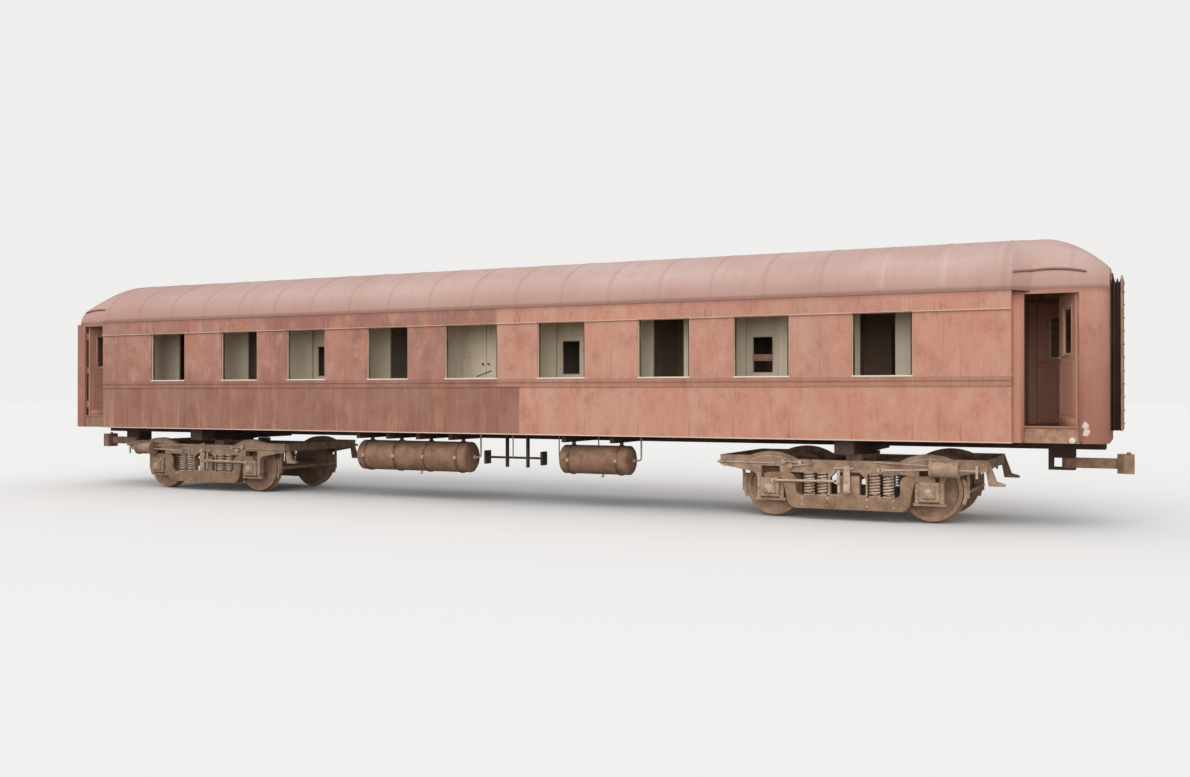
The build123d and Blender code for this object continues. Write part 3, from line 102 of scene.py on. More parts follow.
class Recipe:
    """Short ways to add and join the nodes of one material, world or node group."""

    def __init__(self, tree):
        self.tree = tree

    def add(self, kind, **settings):
        """A new node of a kind, with its settings written down."""
        node = self.tree.nodes.new("ShaderNode" + kind)
        for key, value in settings.items():
            setattr(node, key, value)
        return node

    def join(self, value, socket):
        """Links a value that is a socket, and writes down one that is a number or a colour."""
        if hasattr(value, "is_linked"):
            self.tree.links.new(value, socket)
        else:
            socket.default_value = value

    def maths(self, operation, a, b=0.0):
        """One Math node; a and b are sockets or numbers."""
        node = self.add("Math", operation=operation)
        self.join(a, node.inputs[0])
        self.join(b, node.inputs[1])
        return node.outputs[0]

    def times(self, a, b):
        """a * b."""
        return self.maths("MULTIPLY", a, b)

    def plus(self, a, b):
        """a + b."""
        return self.maths("ADD", a, b)

    def size(self, a):
        """The value without its sign."""
        return self.maths("ABSOLUTE", a)

    def mask(self, value, low, high):
        """0 below low, 1 above high, smooth between; low above high turns it over."""
        node = self.add("MapRange", interpolation_type="SMOOTHSTEP")
        self.join(value, node.inputs["Value"])
        ends = (1.0, 0.0) if low > high else (0.0, 1.0)
        numbers = (min(low, high), max(low, high), *ends)
        for name, number in zip(("From Min", "From Max", "To Min", "To Max"), numbers):
            node.inputs[name].default_value = number
        return node.outputs["Result"]

    def band(self, value, rise_from, rise_to, fall_from, fall_to):
        """0, then up to 1 between the first two values, and back to 0 between the last two."""
        return self.times(self.mask(value, rise_from, rise_to), self.mask(value, fall_to, fall_from))

    def mix(self, factor, a, b):
        """Colour a where factor is 0, and b where it is 1."""
        node = self.add("Mix", data_type="RGBA")
        self.join(factor, node.inputs[0])
        self.join(a, node.inputs[6])
        self.join(b, node.inputs[7])
        return node.outputs[2]

    def coats(self, colour, *rows):
        """Coats laid one over another: each row is a tone, the mask it shows in, and its share."""
        for toward, mask, share in rows:
            colour = self.mix(mask if share == 1.0 else self.times(mask, share), colour, toward)
        return colour

    def noise(self, place, scale, detail, rough, stretch=None, shift=(0, 0, 0)):
        """Cloudy noise from 0 to 1; stretch gives the scale along each axis."""
        if stretch is not None or shift != (0, 0, 0):
            move = self.add("Mapping")
            move.inputs["Scale"].default_value = stretch or (1, 1, 1)
            move.inputs["Location"].default_value = shift
            self.join(place, move.inputs["Vector"])
            place = move.outputs[0]
        node = self.add("TexNoise")
        for name, value in (("Scale", scale), ("Detail", detail), ("Roughness", rough), ("Vector", place)):
            self.join(value, node.inputs[name])
        return node.outputs["Fac"]

    def cloud(self, place, pattern):
        """A soft mask of noise: a pattern is the mask's low and high, and then what noise takes."""
        low, high, *noise = pattern
        return self.mask(self.noise(place, *noise), low, high)

    def axes(self, place):
        """The three coordinates of a place, one socket each."""
        node = self.add("SeparateXYZ")
        self.join(place, node.inputs[0])
        return node.outputs[0], node.outputs[1], node.outputs[2]


# %% [markdown]
# An overcast sky is the plainest studio: light from everywhere above, and one broad soft lamp on
# the camera's side so that mouldings still throw a faint shade. The pale backdrop is only what the
# camera sees; it doesn't add light.

# %% Light
SKY_LIGHT = 0.68
SKY_COLOUR = (1.0, 0.985, 0.96, 1.0)
LAMP_POWER = 2.00
LAMP_COLOUR = (1.0, 0.97, 0.93)
LAMP_ANGLE_DEG = 80
LAMP_TILT_DEG = 66
LAMP_TURN_DEG = 8
BACKDROP = (0.865, 0.858, 0.848, 1.0)

bpy.context.scene.view_settings.view_transform = "Standard"
world = bpy.data.worlds.new("sky")
world.use_nodes = True
bpy.context.scene.world = world
sky = Recipe(world.node_tree)
sky.tree.nodes.clear()
ray = sky.add("LightPath").outputs
choose = sky.add("MixShader")
sky.join(sky.maths("MAXIMUM", ray["Is Camera Ray"], ray["Is Transmission Ray"]), choose.inputs[0])
for colour, strength, socket in ((SKY_COLOUR, SKY_LIGHT, choose.inputs[1]), (BACKDROP, 1.0, choose.inputs[2])):
    glow = sky.add("Background")
    glow.inputs["Color"].default_value = colour
    glow.inputs["Strength"].default_value = strength
    sky.join(glow.outputs[0], socket)
sky.join(choose.outputs[0], sky.add("OutputWorld").inputs["Surface"])

lamp_data = bpy.data.lights.new("broad_lamp", "SUN")
lamp_data.energy = LAMP_POWER
lamp_data.angle = math.radians(LAMP_ANGLE_DEG)
lamp_data.color = LAMP_COLOUR
stand("broad_lamp", lamp_data, (0, 0, 0), (LAMP_TILT_DEG, 0, LAMP_TURN_DEG))
print("sky", SKY_LIGHT, "lamp", LAMP_POWER)

# %% [markdown]
# Sun, rain and dust leave the same marks on every surface: broad cloudy fading, runs that hang
# down from edges, fine grit and a few rusty spots. One node group makes those four masks once,
# and each finish decides what they do to its colour.

# %% Weather masks
# A pattern is the mask's low and high, the noise's scale, detail and roughness, its stretch and shift.
FADING = (0.38, 0.66, 0.9, 5.0, 0.6)
WIDE_RUNS = (0.40, 0.70, 1.0, 4.0, 0.6, (5.0, 5.0, 0.45))
THIN_RUNS = (0.30, 0.72, 1.0, 3.0, 0.6, (26.0, 26.0, 1.1), (3, 1, 0))
RUST_SPOTS = (0.60, 0.70, 7.0, 6.0, 0.75, None, (9, 4, 2))
RUST_REGION = (0.50, 0.66, 0.7, 2.0, 0.5, None, (2, 7, 5))
GRIT_NOISE = (48.0, 4.0, 0.7)


def weather_masks():
    """Node group: from a place to four masks, blotch, runs, grit and rust."""
    tree = bpy.data.node_groups.new("weather_masks", "ShaderNodeTree")
    tree.interface.new_socket("Place", in_out="INPUT", socket_type="NodeSocketVector")
    recipe = Recipe(tree)
    place = tree.nodes.new("NodeGroupInput").outputs["Place"]
    masks = {"Blotch": recipe.cloud(place, FADING),
             "Runs": recipe.times(recipe.cloud(place, WIDE_RUNS), recipe.cloud(place, THIN_RUNS)),
             "Grit": recipe.noise(place, *GRIT_NOISE),
             "Rust": recipe.times(recipe.cloud(place, RUST_SPOTS), recipe.cloud(place, RUST_REGION))}
    for name in masks:
        tree.interface.new_socket(name, in_out="OUTPUT", socket_type="NodeSocketFloat")
    out = tree.nodes.new("NodeGroupOutput")
    for name, mask in masks.items():
        recipe.join(mask, out.inputs[name])
    return tree


WEATHER = weather_masks()


def start_finish(name, roughness=0.82):
    """A new material with its shader, its recipe, its place socket and the weather masks."""
    material = bpy.data.materials.new(name)
    material.use_nodes = True
    recipe = Recipe(material.node_tree)
    shader = material.node_tree.nodes["Principled BSDF"]
    shader.inputs["Roughness"].default_value = roughness
    shader.inputs["Specular IOR Level"].default_value = 0.3
    place = recipe.add("TexCoord").outputs["Object"]
    weather = recipe.add("Group", node_tree=WEATHER)
    recipe.join(place, weather.inputs["Place"])
    return material, recipe, shader, place, weather.outputs


def finish_with(recipe, shader, colour, height, strength, distance, rough_mask, rough=(0.7, 0.95)):
    """Joins the colour, a bump from height, and a roughness between two values."""
    recipe.join(colour, shader.inputs["Base Color"])
    bump = recipe.add("Bump")
    bump.inputs["Strength"].default_value = strength
    bump.inputs["Distance"].default_value = distance
    recipe.join(height, bump.inputs["Height"])
    recipe.join(bump.outputs["Normal"], shader.inputs["Normal"])
    spread = recipe.add("MapRange")
    recipe.join(rough_mask, spread.inputs["Value"])
    spread.inputs["To Min"].default_value, spread.inputs["To Max"].default_value = rough
    recipe.join(spread.outputs["Result"], shader.inputs["Roughness"])


# %% [markdown]
# The side paint is the coach's face. The upper piers fade one by one, some salmon and some with a
# dusty purple cast. Below the belt, the left half has gone a flat brown and the right half a
# chalky salmon, with a straight upright edge between them where the sheets were painted apart.

# %% Side paint
CHALKY_SALMON = tone(203, 152, 134)
WARM_RED = tone(196, 130, 108)
DUSTY_PURPLE = tone(168, 128, 122)
FLAT_BROWN = tone(155, 105, 91)
DARK_BROWN = tone(138, 96, 84)
RUST_BROWN = tone(118, 72, 54)
OCHRE = tone(196, 142, 104)
DUST = tone(202, 172, 154)
PALE_EDGE = tone(226, 206, 196)
SHEETS_PER_M = 0.56
OLD_EDGE_X = 0.53
BELT_BOTTOM = 2.058
EAVE_Z = 3.418

CLOUDY = (0.36, 0.62, 2.4, 6.0, 0.68, None, (4, 0, 6))
DUST_BANDS = (0.46, 0.66, 1.0, 3.0, 0.55, (2.6, 2.6, 0.30), (8, 1, 2))
PATCHES = (0.34, 0.62, 1.6, 5.0, 0.6, None, (5, 0, 3))
OLD_PAINT = (0.42, 0.58, 1.3, 6.0, 0.66, None, (2, 9, 5))
BLUSH = (0.50, 0.72, 1.0, 5.0, 0.62, (2.2, 2.2, 0.7), (7, 2, 1))
MOTTLE_NOISE = (3.4, 8.0, 0.72, (1.2, 1.2, 0.8), (1, 6, 4))
FINE_RUNS = (0.56, 0.74, 1.0, 3.0, 0.6, (34.0, 34.0, 1.6), (2, 5, 3))


def side_paint(name, inner_marks, outer_marks):
    """Faded red; inner_marks lie under the runs and rust, and outer_marks on top of them."""
    material, recipe, shader, place, masks = start_finish(name)
    x, y, z = recipe.axes(place)
    sheet = recipe.add("TexWhiteNoise", noise_dimensions="1D")
    recipe.join(recipe.maths("FLOOR", recipe.times(x, SHEETS_PER_M)), sheet.inputs["W"])
    chance = sheet.outputs["Value"]
    left = recipe.mask(x, OLD_EDGE_X + 0.06, OLD_EDGE_X - 0.06)
    upper = recipe.mask(z, BELT_BOTTOM, BELT_BOTTOM + 0.01)
    cloudy, patches = recipe.cloud(place, CLOUDY), recipe.cloud(place, PATCHES)
    old = recipe.plus(recipe.times(recipe.cloud(place, OLD_PAINT), 0.55), recipe.times(chance, 0.20))
    old = recipe.times(recipe.times(left, upper), recipe.maths("MINIMUM", recipe.plus(old, 0.42), 1.0))
    purple = recipe.times(recipe.plus(recipe.times(chance, 0.25), recipe.times(left, 0.40)), upper)
    purple = recipe.times(purple, recipe.plus(recipe.times(patches, 0.6), 0.4))
    mottle = recipe.noise(place, *MOTTLE_NOISE)
    colour = recipe.mix(recipe.mask(masks["Grit"], 0.30, 0.70), CHALKY_SALMON, WARM_RED)
    colour = recipe.coats(
        colour, (CHALKY_SALMON, cloudy, 0.60), (DUST, recipe.cloud(place, DUST_BANDS), 0.34),
        (FLAT_BROWN, old, 1.0), (DUSTY_PURPLE, purple, 1.0), (WARM_RED, recipe.cloud(place, BLUSH), 0.62),
        (FLAT_BROWN, recipe.mask(mottle, 0.49, 0.67), 0.40), (DUST, recipe.mask(mottle, 0.48, 0.35), 0.36))
    colour = inner_marks(recipe, colour, place, masks, cloudy, patches)
    # The DARK_BROWN band just under the eave, set by height alone, is painted shade of the roof's overhang.
    colour = recipe.coats(
        colour, (DUST, masks["Runs"], 0.24), (DARK_BROWN, recipe.cloud(place, FINE_RUNS), 0.30),
        (RUST_BROWN, masks["Rust"], 0.50), (DARK_BROWN, recipe.mask(z, EAVE_Z - 0.09, EAVE_Z), 0.35))
    colour = outer_marks(recipe, colour, place)
    relief = recipe.mix(0.5, masks["Grit"], masks["Rust"])
    finish_with(recipe, shader, colour, relief, 0.35, 0.003, masks["Blotch"])
    return material


# %% [markdown]
# What only the side walls have: the brown left half below the belt, ochre runs low down, a darker
# belt rail, a painted highlight along the drip moulding, a pale bottom edge, and cream paint on the face
# towards the corridor.

# %% Marks of the side walls
BROWN_EDGE_X = 0.97
BELT_TOP = 2.198
SILL_Z = 1.248
DRIP_LOW = 3.146
OCHRE_CLOUDS = (0.58, 0.70, 1.0, 4.0, 0.6, (3, 3, 0.8), (1, 3, 8))
WALL_CREAM = tone(214, 190, 166)
# Half the room's width and length, each as where the cream ends and where it is full.
CREAM_Y = (1.468, 1.458)
CREAM_X = (8.880, 8.875)


def wall_halves(recipe, colour, place, masks, cloudy, patches):
    """Brown on the lower left, ochre at the bottom, and a dark belt."""
    x, y, z = recipe.axes(place)
    brown = recipe.mix(recipe.times(recipe.mask(masks["Runs"], 0.1, 0.8), 0.4), FLAT_BROWN, DUSTY_PURPLE)
    brown = recipe.coats(brown, (DARK_BROWN, patches, 0.50), (OCHRE, recipe.cloud(place, OCHRE_CLOUDS), 0.28),
                         (DUST, cloudy, 0.14))
    lower_left = recipe.times(recipe.mask(x, BROWN_EDGE_X + 0.006, BROWN_EDGE_X - 0.006),
                              recipe.mask(z, BELT_BOTTOM + 0.02, BELT_BOTTOM + 0.01))
    low = recipe.times(recipe.mask(z, 1.65, 1.28), recipe.mask(masks["Runs"], 0.15, 0.55))
    belt = recipe.band(z, BELT_BOTTOM - 0.004, BELT_BOTTOM, BELT_TOP, BELT_TOP + 0.004)
    return recipe.coats(colour, (brown, lower_left, 1.0), (OCHRE, low, 0.28), (DARK_BROWN, belt, 0.42))


def wall_edges(recipe, colour, place):
    """Painted highlight along the drip moulding, a pale bottom edge, and cream where the wall faces the
    corridor.
    """
    x, y, z = recipe.axes(place)
    # The pale band on the drip moulding is a painted highlight.
    drip = recipe.band(z, DRIP_LOW - 0.002, DRIP_LOW + 0.002, DRIP_LOW + 0.012, DRIP_LOW + 0.022)
    indoors = recipe.times(recipe.mask(recipe.size(y), *CREAM_Y), recipe.mask(recipe.size(x), *CREAM_X))
    bottom = recipe.mask(z, SILL_Z + 0.022, SILL_Z + 0.014)
    return recipe.coats(colour, (PALE_EDGE, drip, 0.45), (PALE_EDGE, bottom, 0.6), (WALL_CREAM, indoors, 1.0))


# %% [markdown]
# Vestibules and doors have the same red without the two halves. Painted shade darkens them towards the
# bottom; painted light brightens the posts beside the body's end, the inner faces of the vestibule in a
# pale brown, and the doors all over. They are chipped at two corners.

# %% Marks of the ends and doors
# A lighter salmon, used only as painted light.
PAINTED_LIGHT_SALMON = tone(222, 168, 146)
# A pale brown, used as painted light on the vestibule's inner faces.
VESTIBULE_BROWN = tone(196, 160, 140)
VESTIBULE_Y = (1.134, 1.130)
VESTIBULE_X = (10.070, 10.065)
FLAKE_NOISE = (9.0, 4.0, 0.7, None, (4, 4, 1))
CHIP_Y = -1.190
# Each chip: x, z and radius.
CHIPS = ((9.862, 1.500, 0.045), (9.880, 1.420, 0.050), (9.020, 1.505, 0.025))


def no_marks(_, colour, *rest):
    """Leaves the colour as it is."""
    return colour


def end_marks(shade, inner, pale):
    """shade is how much painted shade darkens the lower part, inner how much painted light lifts the inner
    faces, pale how much painted light lightens it all over.
    """
    def marks(recipe, colour, place):
        """Painted shade on the foot, painted light on the posts, on the inner faces and all over, and the
        chips.
        """
        x, y, z = recipe.axes(place)
        nx, ny, nz = recipe.axes(recipe.add("NewGeometry").outputs["Normal"])
        outward = recipe.plus(recipe.times(nx, recipe.maths("SIGN", x)),
                              recipe.times(ny, recipe.maths("SIGN", y)))
        # within marks the faces inside the vestibule, which take painted light.
        room = recipe.times(recipe.mask(recipe.size(y), *VESTIBULE_Y),
                            recipe.mask(recipe.size(x), *VESTIBULE_X))
        within = recipe.maths("MAXIMUM", recipe.mask(outward, -0.05, -0.15), room)
        # Painted light on the posts just past the body's end, where the body's side shades them.
        post_painted_light = recipe.mask(recipe.size(x), 9.050, 9.000)
        # Coats: painted shade low down, painted light all over by pale, on the posts, and on the inner faces.
        colour = recipe.coats(colour, (FLAT_BROWN, recipe.mask(z, 3.8, 1.3), shade), (PAINTED_LIGHT_SALMON, pale, 1.0),
                              (PAINTED_LIGHT_SALMON, post_painted_light, 0.75), (VESTIBULE_BROWN, within, inner))
        flake = recipe.noise(place, *FLAKE_NOISE)
        for chip_x, chip_z, chip_r in CHIPS:
            gap = recipe.add("VectorMath", operation="DISTANCE")
            recipe.join(place, gap.inputs[0])
            recipe.join((chip_x, CHIP_Y, chip_z), gap.inputs[1])
            ragged = recipe.plus(gap.outputs["Value"], recipe.times(flake, 0.16))
            colour = recipe.mix(recipe.mask(ragged, chip_r + 0.080, chip_r + 0.072), colour, PALE_EDGE)
        return colour
    return marks


finishes = {
    "side": side_paint("side_paint", wall_halves, wall_edges),
    "end": side_paint("end_paint", no_marks, end_marks(0.85, 0.9, 0.0)),
    "door": side_paint("door_paint", no_marks, end_marks(0.1, 0.0, 0.5)),
}
print("red finishes:", list(finishes))

# %% [markdown]
# The roof has weathered to a chalky lilac. Towards the eaves it is darker and browner with painted shade,
# and a dark band of painted shade lies at the eave. Curved rain strips over the doors are dark, and on
# the camera's side two of the straps between the sheets have been scrubbed pale.

# %% Roof
ROOF_LILAC = tone(204, 181, 176)
ROOF_PINK = tone(195, 165, 158)
ROOF_LOW = tone(179, 135, 122)
ROOF_EAVE_SHADE = tone(140, 106, 96)
ROOF_CLOUDS = (0.35, 0.68, 0.55, 5.0, 0.6, (1.0, 1.6, 1.6))
ROOF_STREAKS = (0.48, 0.74, 1.0, 4.0, 0.65, (9.0, 0.8, 0.8))
STRAP_PITCH = 0.88
PALE_STRAPS = (7.065, 7.950)
# Rain strips: axis that they run along, middle, half length, height of their ends, rise, least |x|.
RAIN_STRIPS = ((0, 9.400, 0.470, 3.668, 0.055, None), (1, 0.0, 0.620, 3.588, 0.120, 10.0))


def rain_strip(recipe, place, axis, middle, reach, end_z, rise, least_x):
    """Parabola end_z + rise * (1 - s * s), with s the place along the strip from -1 to 1."""
    sockets = recipe.axes(place)
    s = recipe.maths("DIVIDE", recipe.maths("SUBTRACT", recipe.size(sockets[axis]), middle), reach)
    arch = recipe.times(recipe.maths("SUBTRACT", 1.0, recipe.times(s, s)), rise)
    above = recipe.maths("SUBTRACT", sockets[2], recipe.plus(arch, end_z))
    strip = recipe.band(above, -0.010, -0.004, 0.024, 0.032)
    strip = recipe.times(strip, recipe.mask(recipe.size(s), 1.01, 0.99))
    if least_x:
        strip = recipe.times(strip, recipe.mask(recipe.size(sockets[0]), least_x, least_x + 0.01))
    return strip


def roof_skin():
    """Chalky lilac, darker and redder towards the eaves with painted shade, with soft streaks across the coach.
    """
    material, recipe, shader, place, masks = start_finish("roof_skin", 0.85)
    x, y, z = recipe.axes(place)
    beside_strap = recipe.mask(recipe.maths("PINGPONG", x, STRAP_PITCH / 2), 0.060, 0.0)
    colour = recipe.mix(recipe.cloud(place, ROOF_CLOUDS), ROOF_LILAC, ROOF_PINK)
    # The coat of ROOF_LOW set by height, towards the eaves, is painted shade.
    colour = recipe.coats(
        colour, (ROOF_PINK, recipe.mask(masks["Grit"], 0.35, 0.75), 0.3),
        (DUSTY_PURPLE, recipe.cloud(place, ROOF_STREAKS), 0.22),
        (DUSTY_PURPLE, recipe.mask(x, 1.0, -7.0), 0.30),
        (ROOF_LOW, beside_strap, 0.22), (ROOF_LOW, recipe.mask(z, EAVE_Z + 0.50, EAVE_Z + 0.06), 0.60))
    scrubbed = recipe.band(z, EAVE_Z + 0.04, EAVE_Z + 0.14, EAVE_Z + 0.60, EAVE_Z + 0.78)
    scrubbed = recipe.times(scrubbed, recipe.mask(y, 0.0, -0.2))
    for strap_x in PALE_STRAPS:
        near = recipe.mask(recipe.size(recipe.maths("SUBTRACT", x, strap_x)), 0.080, 0.030)
        colour = recipe.coats(colour, (PALE_EDGE, recipe.times(near, scrubbed), 0.24))
    # A dark band of painted shade at the eave.
    colour = recipe.coats(colour, (ROOF_EAVE_SHADE, recipe.mask(z, EAVE_Z + 0.085, EAVE_Z + 0.030), 0.65))
    for row in RAIN_STRIPS:
        colour = recipe.coats(colour, (DARK_BROWN, rain_strip(recipe, place, *row), 0.85))
    colour = recipe.coats(colour, (RUST_BROWN, masks["Rust"], 0.35))
    finish_with(recipe, shader, colour, masks["Grit"], 0.3, 0.004, masks["Blotch"])
    return material


finishes["roof"] = roof_skin()

# %% [markdown]
# Indoors everything had one coat of pale oil paint, now grimy in runs and spots and rusty in spots,
# with painted shade darkening it towards the ceiling. The same recipe with other tones serves the window
# linings and the white trim outside.

# %% Pale paint
PANEL_CREAM = tone(240, 230, 210)
CREAM = tone(234, 222, 200)
GRIME_AND_SHADE = tone(138, 120, 104)
IRON = tone(84, 66, 56)
GRIME_SPOTS = (0.60, 0.70, 9.0, 5.0, 0.7, None, (3, 3, 3))
KNOB_FACE_Y = -0.7065


def pale_paint(name, light_tone, dark_from, dark_to, dirt_and_shade, iron_beyond=None):
    """Pale paint with grime and rust, darkened towards the top by painted shade; what stands out past
    iron_beyond is bare iron.
    """
    material, recipe, shader, place, masks = start_finish(name, 0.7)
    x, y, z = recipe.axes(place)
    # The coat set by height, from dark_from to dark_to, is painted shade; the runs, spots and rust are dirt.
    colour = recipe.coats(
        light_tone, (CREAM, masks["Blotch"], 0.5), (GRIME_AND_SHADE, masks["Runs"], 0.5 * dirt_and_shade),
        (GRIME_AND_SHADE, recipe.mask(z, dark_from, dark_to), dirt_and_shade),
        (GRIME_AND_SHADE, recipe.cloud(place, GRIME_SPOTS), 0.6 * dirt_and_shade), (RUST_BROWN, masks["Rust"], dirt_and_shade))
    if iron_beyond is not None:
        iron = recipe.times(recipe.mask(y, iron_beyond, iron_beyond - 0.002), recipe.mask(z, 2.60, 2.58))
        colour = recipe.mix(iron, colour, IRON)
    finish_with(recipe, shader, colour, masks["Grit"], 0.2, 0.002, masks["Blotch"], (0.55, 0.85))
    return material


finishes["inside"] = pale_paint("corridor_paint", PANEL_CREAM, 2.75, 3.5, 0.35)
finishes["leaf"] = pale_paint("door_leaf_paint", CREAM, 2.7, 3.5, 0.4, KNOB_FACE_Y)
finishes["lining"] = pale_paint("lining_paint", tone(214, 196, 172), 2.9, 3.5, 0.45)
finishes["pale"] = pale_paint("pale_trim", tone(236, 224, 212), 3.4, 3.9, 0.25)
finishes["edge"] = pale_paint("edge_paint", tone(222, 194, 182), 3.4, 3.9, 0.35)

# %% [markdown]
# Below the floor everything is cast or rolled steel under a coat of brown dust. Dust settles on
# what faces up and leaves undersides dark, so the mask comes from the surface's own normal.

# %% Dusty steel
OIL_AND_SHADE = tone(70, 56, 50)
DUST_PATCHES = (0.30, 0.68, 5.0, 6.0, 0.7)
OIL_PATCHES = (0.58, 0.72, 3.0, 5.0, 0.7, None, (6, 2, 9))
CAST_NOISE = (60.0, 5.0, 0.7)
# Each finish: its material's name, steel, dust, how much dust the sides keep, rust, grit and runs.
STEELS = {
    "under": ("underframe_steel", (66, 50, 46), (108, 86, 76), 0.35, 0.5, 0.006, 0.2),
    "bogie": ("bogie_castings", (146, 118, 100), (206, 178, 154), 0.60, 0.4, 0.006, 0.2),
    "beam": ("equalizer_beams", (130, 102, 84), (180, 150, 124), 0.55, 0.45, 0.006, 0.2),
    "fitting": ("bogie_fittings", (178, 150, 132), (228, 206, 188), 0.70, 0.30, 0.003, 0.2),
    "wheel": ("wheel_steel", (140, 110, 92), (192, 160, 138), 0.60, 0.4, 0.006, 0.2),
    "spring": ("spring_steel", (174, 148, 130), (228, 206, 188), 0.65, 0.3, 0.002, 0.2),
    "tank": ("tank_skin", (128, 98, 80), (176, 140, 116), 0.55, 0.6, 0.006, 0.6),
    "strap": ("tank_straps", (92, 72, 60), (150, 122, 104), 0.35, 0.5, 0.002, 0.2),
    "plate": ("rusty_plate", (150, 110, 92), (200, 164, 144), 0.5, 0.5, 0.006, 0.2),
}


def dusty_steel(name, steel, dust, dust_share, rust, grit, run):
    """Steel with dust on its upward faces, oily patches, rust, runs, and painted shade on the far end."""
    material, recipe, shader, place, masks = start_finish(name, 0.88)
    x, y, z = recipe.axes(place)
    nx, ny, nz = recipe.axes(recipe.add("NewGeometry").outputs["Normal"])
    settled = recipe.plus(recipe.times(recipe.mask(nz, -0.55, 0.75), 1.0 - dust_share), dust_share)
    settled = recipe.times(settled, recipe.cloud(place, DUST_PATCHES))
    # The last coat, darker where x is below -3.6, is painted shade at the far end.
    colour = recipe.coats(
        tone(*steel), (tone(*dust), settled, 1.0), (OIL_AND_SHADE, recipe.cloud(place, OIL_PATCHES), 0.45),
        (RUST_BROWN, masks["Rust"], rust), (tone(*dust), masks["Runs"], run),
        (OIL_AND_SHADE, recipe.mask(x, -3.6, -4.6), 0.28))
    finish_with(recipe, shader, colour, recipe.noise(place, *CAST_NOISE), 0.5, grit, masks["Grit"], (0.75, 1.0))
    return material


for finish_name, row in STEELS.items():
    finishes[finish_name] = dusty_steel(*row)

# %% [markdown]
# The last finishes are boards with their grain along one axis, and proofed canvas with a weave.

# %% Timber and canvas
GRAIN = (0.3, 0.7, 1.0, 6.0, 0.65)
ALONG_X = (0.8, 22.0, 22.0)
ALONG_Z = (22.0, 22.0, 0.8)
THREAD_RATE = 2600.0


def timber(name, wood, dark, stretch):
    """Bare boards: grain stretched along one axis."""
    material, recipe, shader, place, masks = start_finish(name, 0.85)
    low, high, *noise = GRAIN
    grain = recipe.noise(place, *noise, stretch)
    colour = recipe.coats(wood, (dark, recipe.mask(grain, low, high), 1.0), (GRIME_AND_SHADE, masks["Blotch"], 0.5))
    finish_with(recipe, shader, colour, grain, 0.5, 0.003, masks["Grit"])
    return material


def canvas_cloth():
    """Dark proofed canvas: a fine weave, pale dust and worn folds."""
    material, recipe, shader, place, masks = start_finish("canvas_cloth", 0.95)
    x, y, z = recipe.axes(place)
    weave = recipe.times(recipe.maths("SINE", recipe.times(y, THREAD_RATE)),
                         recipe.maths("SINE", recipe.times(z, THREAD_RATE)))
    colour = recipe.coats(tone(72, 54, 47), (tone(102, 80, 70), masks["Blotch"], 0.7),
                          (tone(128, 106, 94), masks["Runs"], 0.5))
    finish_with(recipe, shader, colour, weave, 0.3, 0.001, masks["Grit"], (0.85, 1.0))
    return material


finishes["floor"] = timber("floor_boards", tone(152, 128, 108), tone(104, 86, 72), ALONG_X)
finishes["shutter"] = timber("shutter_wood", tone(154, 126, 106), tone(100, 80, 67), ALONG_X)
finishes["dark_wood"] = timber("channel_wood", tone(74, 58, 48), tone(44, 35, 30), ALONG_Z)
finishes["canvas"] = canvas_cloth()
print("finishes:", len(finishes))

# %% [markdown]
# Each solid takes its finish by name. The dictionary below is the whole paint shop list.

# %% Paint the solids
def paint(obj, material):
    """Puts one material on every slot of an object."""
    if not obj.material_slots:
        obj.data.materials.append(material)
    for slot in obj.material_slots:
        slot.material = material


ENDS = (("right", 1), ("left", -1))


def at_both_ends(*parts):
    """The names of parts that are there once at each end."""
    return tuple(part + "_" + end for end, _ in ENDS for part in parts)


paint_list = {
    "side": ("side_wall_corridor", "side_wall_rooms"),
    "end": ("vestibule_right", "vestibule_left", "bulkheads"),
    "door": ("side_door_right_corridor", "side_door_right_rooms", "side_door_left_corridor",
             "side_door_left_rooms", "end_door_right", "end_door_left"),
    "roof": ("roof",),
    "inside": ("corridor_header", "corridor_panels", "lobby_walls", "room_walls", "ceiling"),
    "leaf": ("room_door_3", "room_door_6", "room_door_8", "pantry_door_left", "pantry_door_right"),
    "floor": ("floor",),
    "shutter": ("window_shutters",),
    "under": ("sills", "cross_bearers", "coupler_pockets", "body_bolsters", "floor_brake_gear"),
    "plate": ("step_boxes", "gangway_faces"),
    "tank": ("long_tank", "short_tank"),
    "canvas": ("gangway_bellows",),
    "beam": at_both_ends("equalizers"),
    "wheel": at_both_ends("coupler") + tuple(
        f"wheelset_{end}_{place}" for end, _ in ENDS for place in ("outer", "inner")),
    "bogie": at_both_ends("bogie_frame", "bogie_bolster", "axle_boxes", "spring_seats", "bogie_brakes"),
    "spring": at_both_ends("springs"),
}
for finish_name, node_names in paint_list.items():
    for node_name in node_names:
        paint(nodes[node_name], finishes[finish_name])
print("painted:", sum(len(names) for names in paint_list.values()), "of", len(nodes))

# %% [markdown]
# New pieces are surfaces worked out with numpy. Nearly everything on a coach is a section carried
# along a line: a bead round a window, a pipe, a coil spring, a strap over the roof. The rest is
# turned on a lathe: bosses, pins, discs. Two helpers make a grid of points, a third turns any grid
# into faces, and a fourth makes rows of rectangular bars. Blender's own primitives would do too,
# but a formula keeps every size in one readable line.

# %% Surface helpers
def unit(vectors):
    """Each vector divided by its own length."""
    return vectors / np.linalg.norm(vectors, axis=-1, keepdims=True)


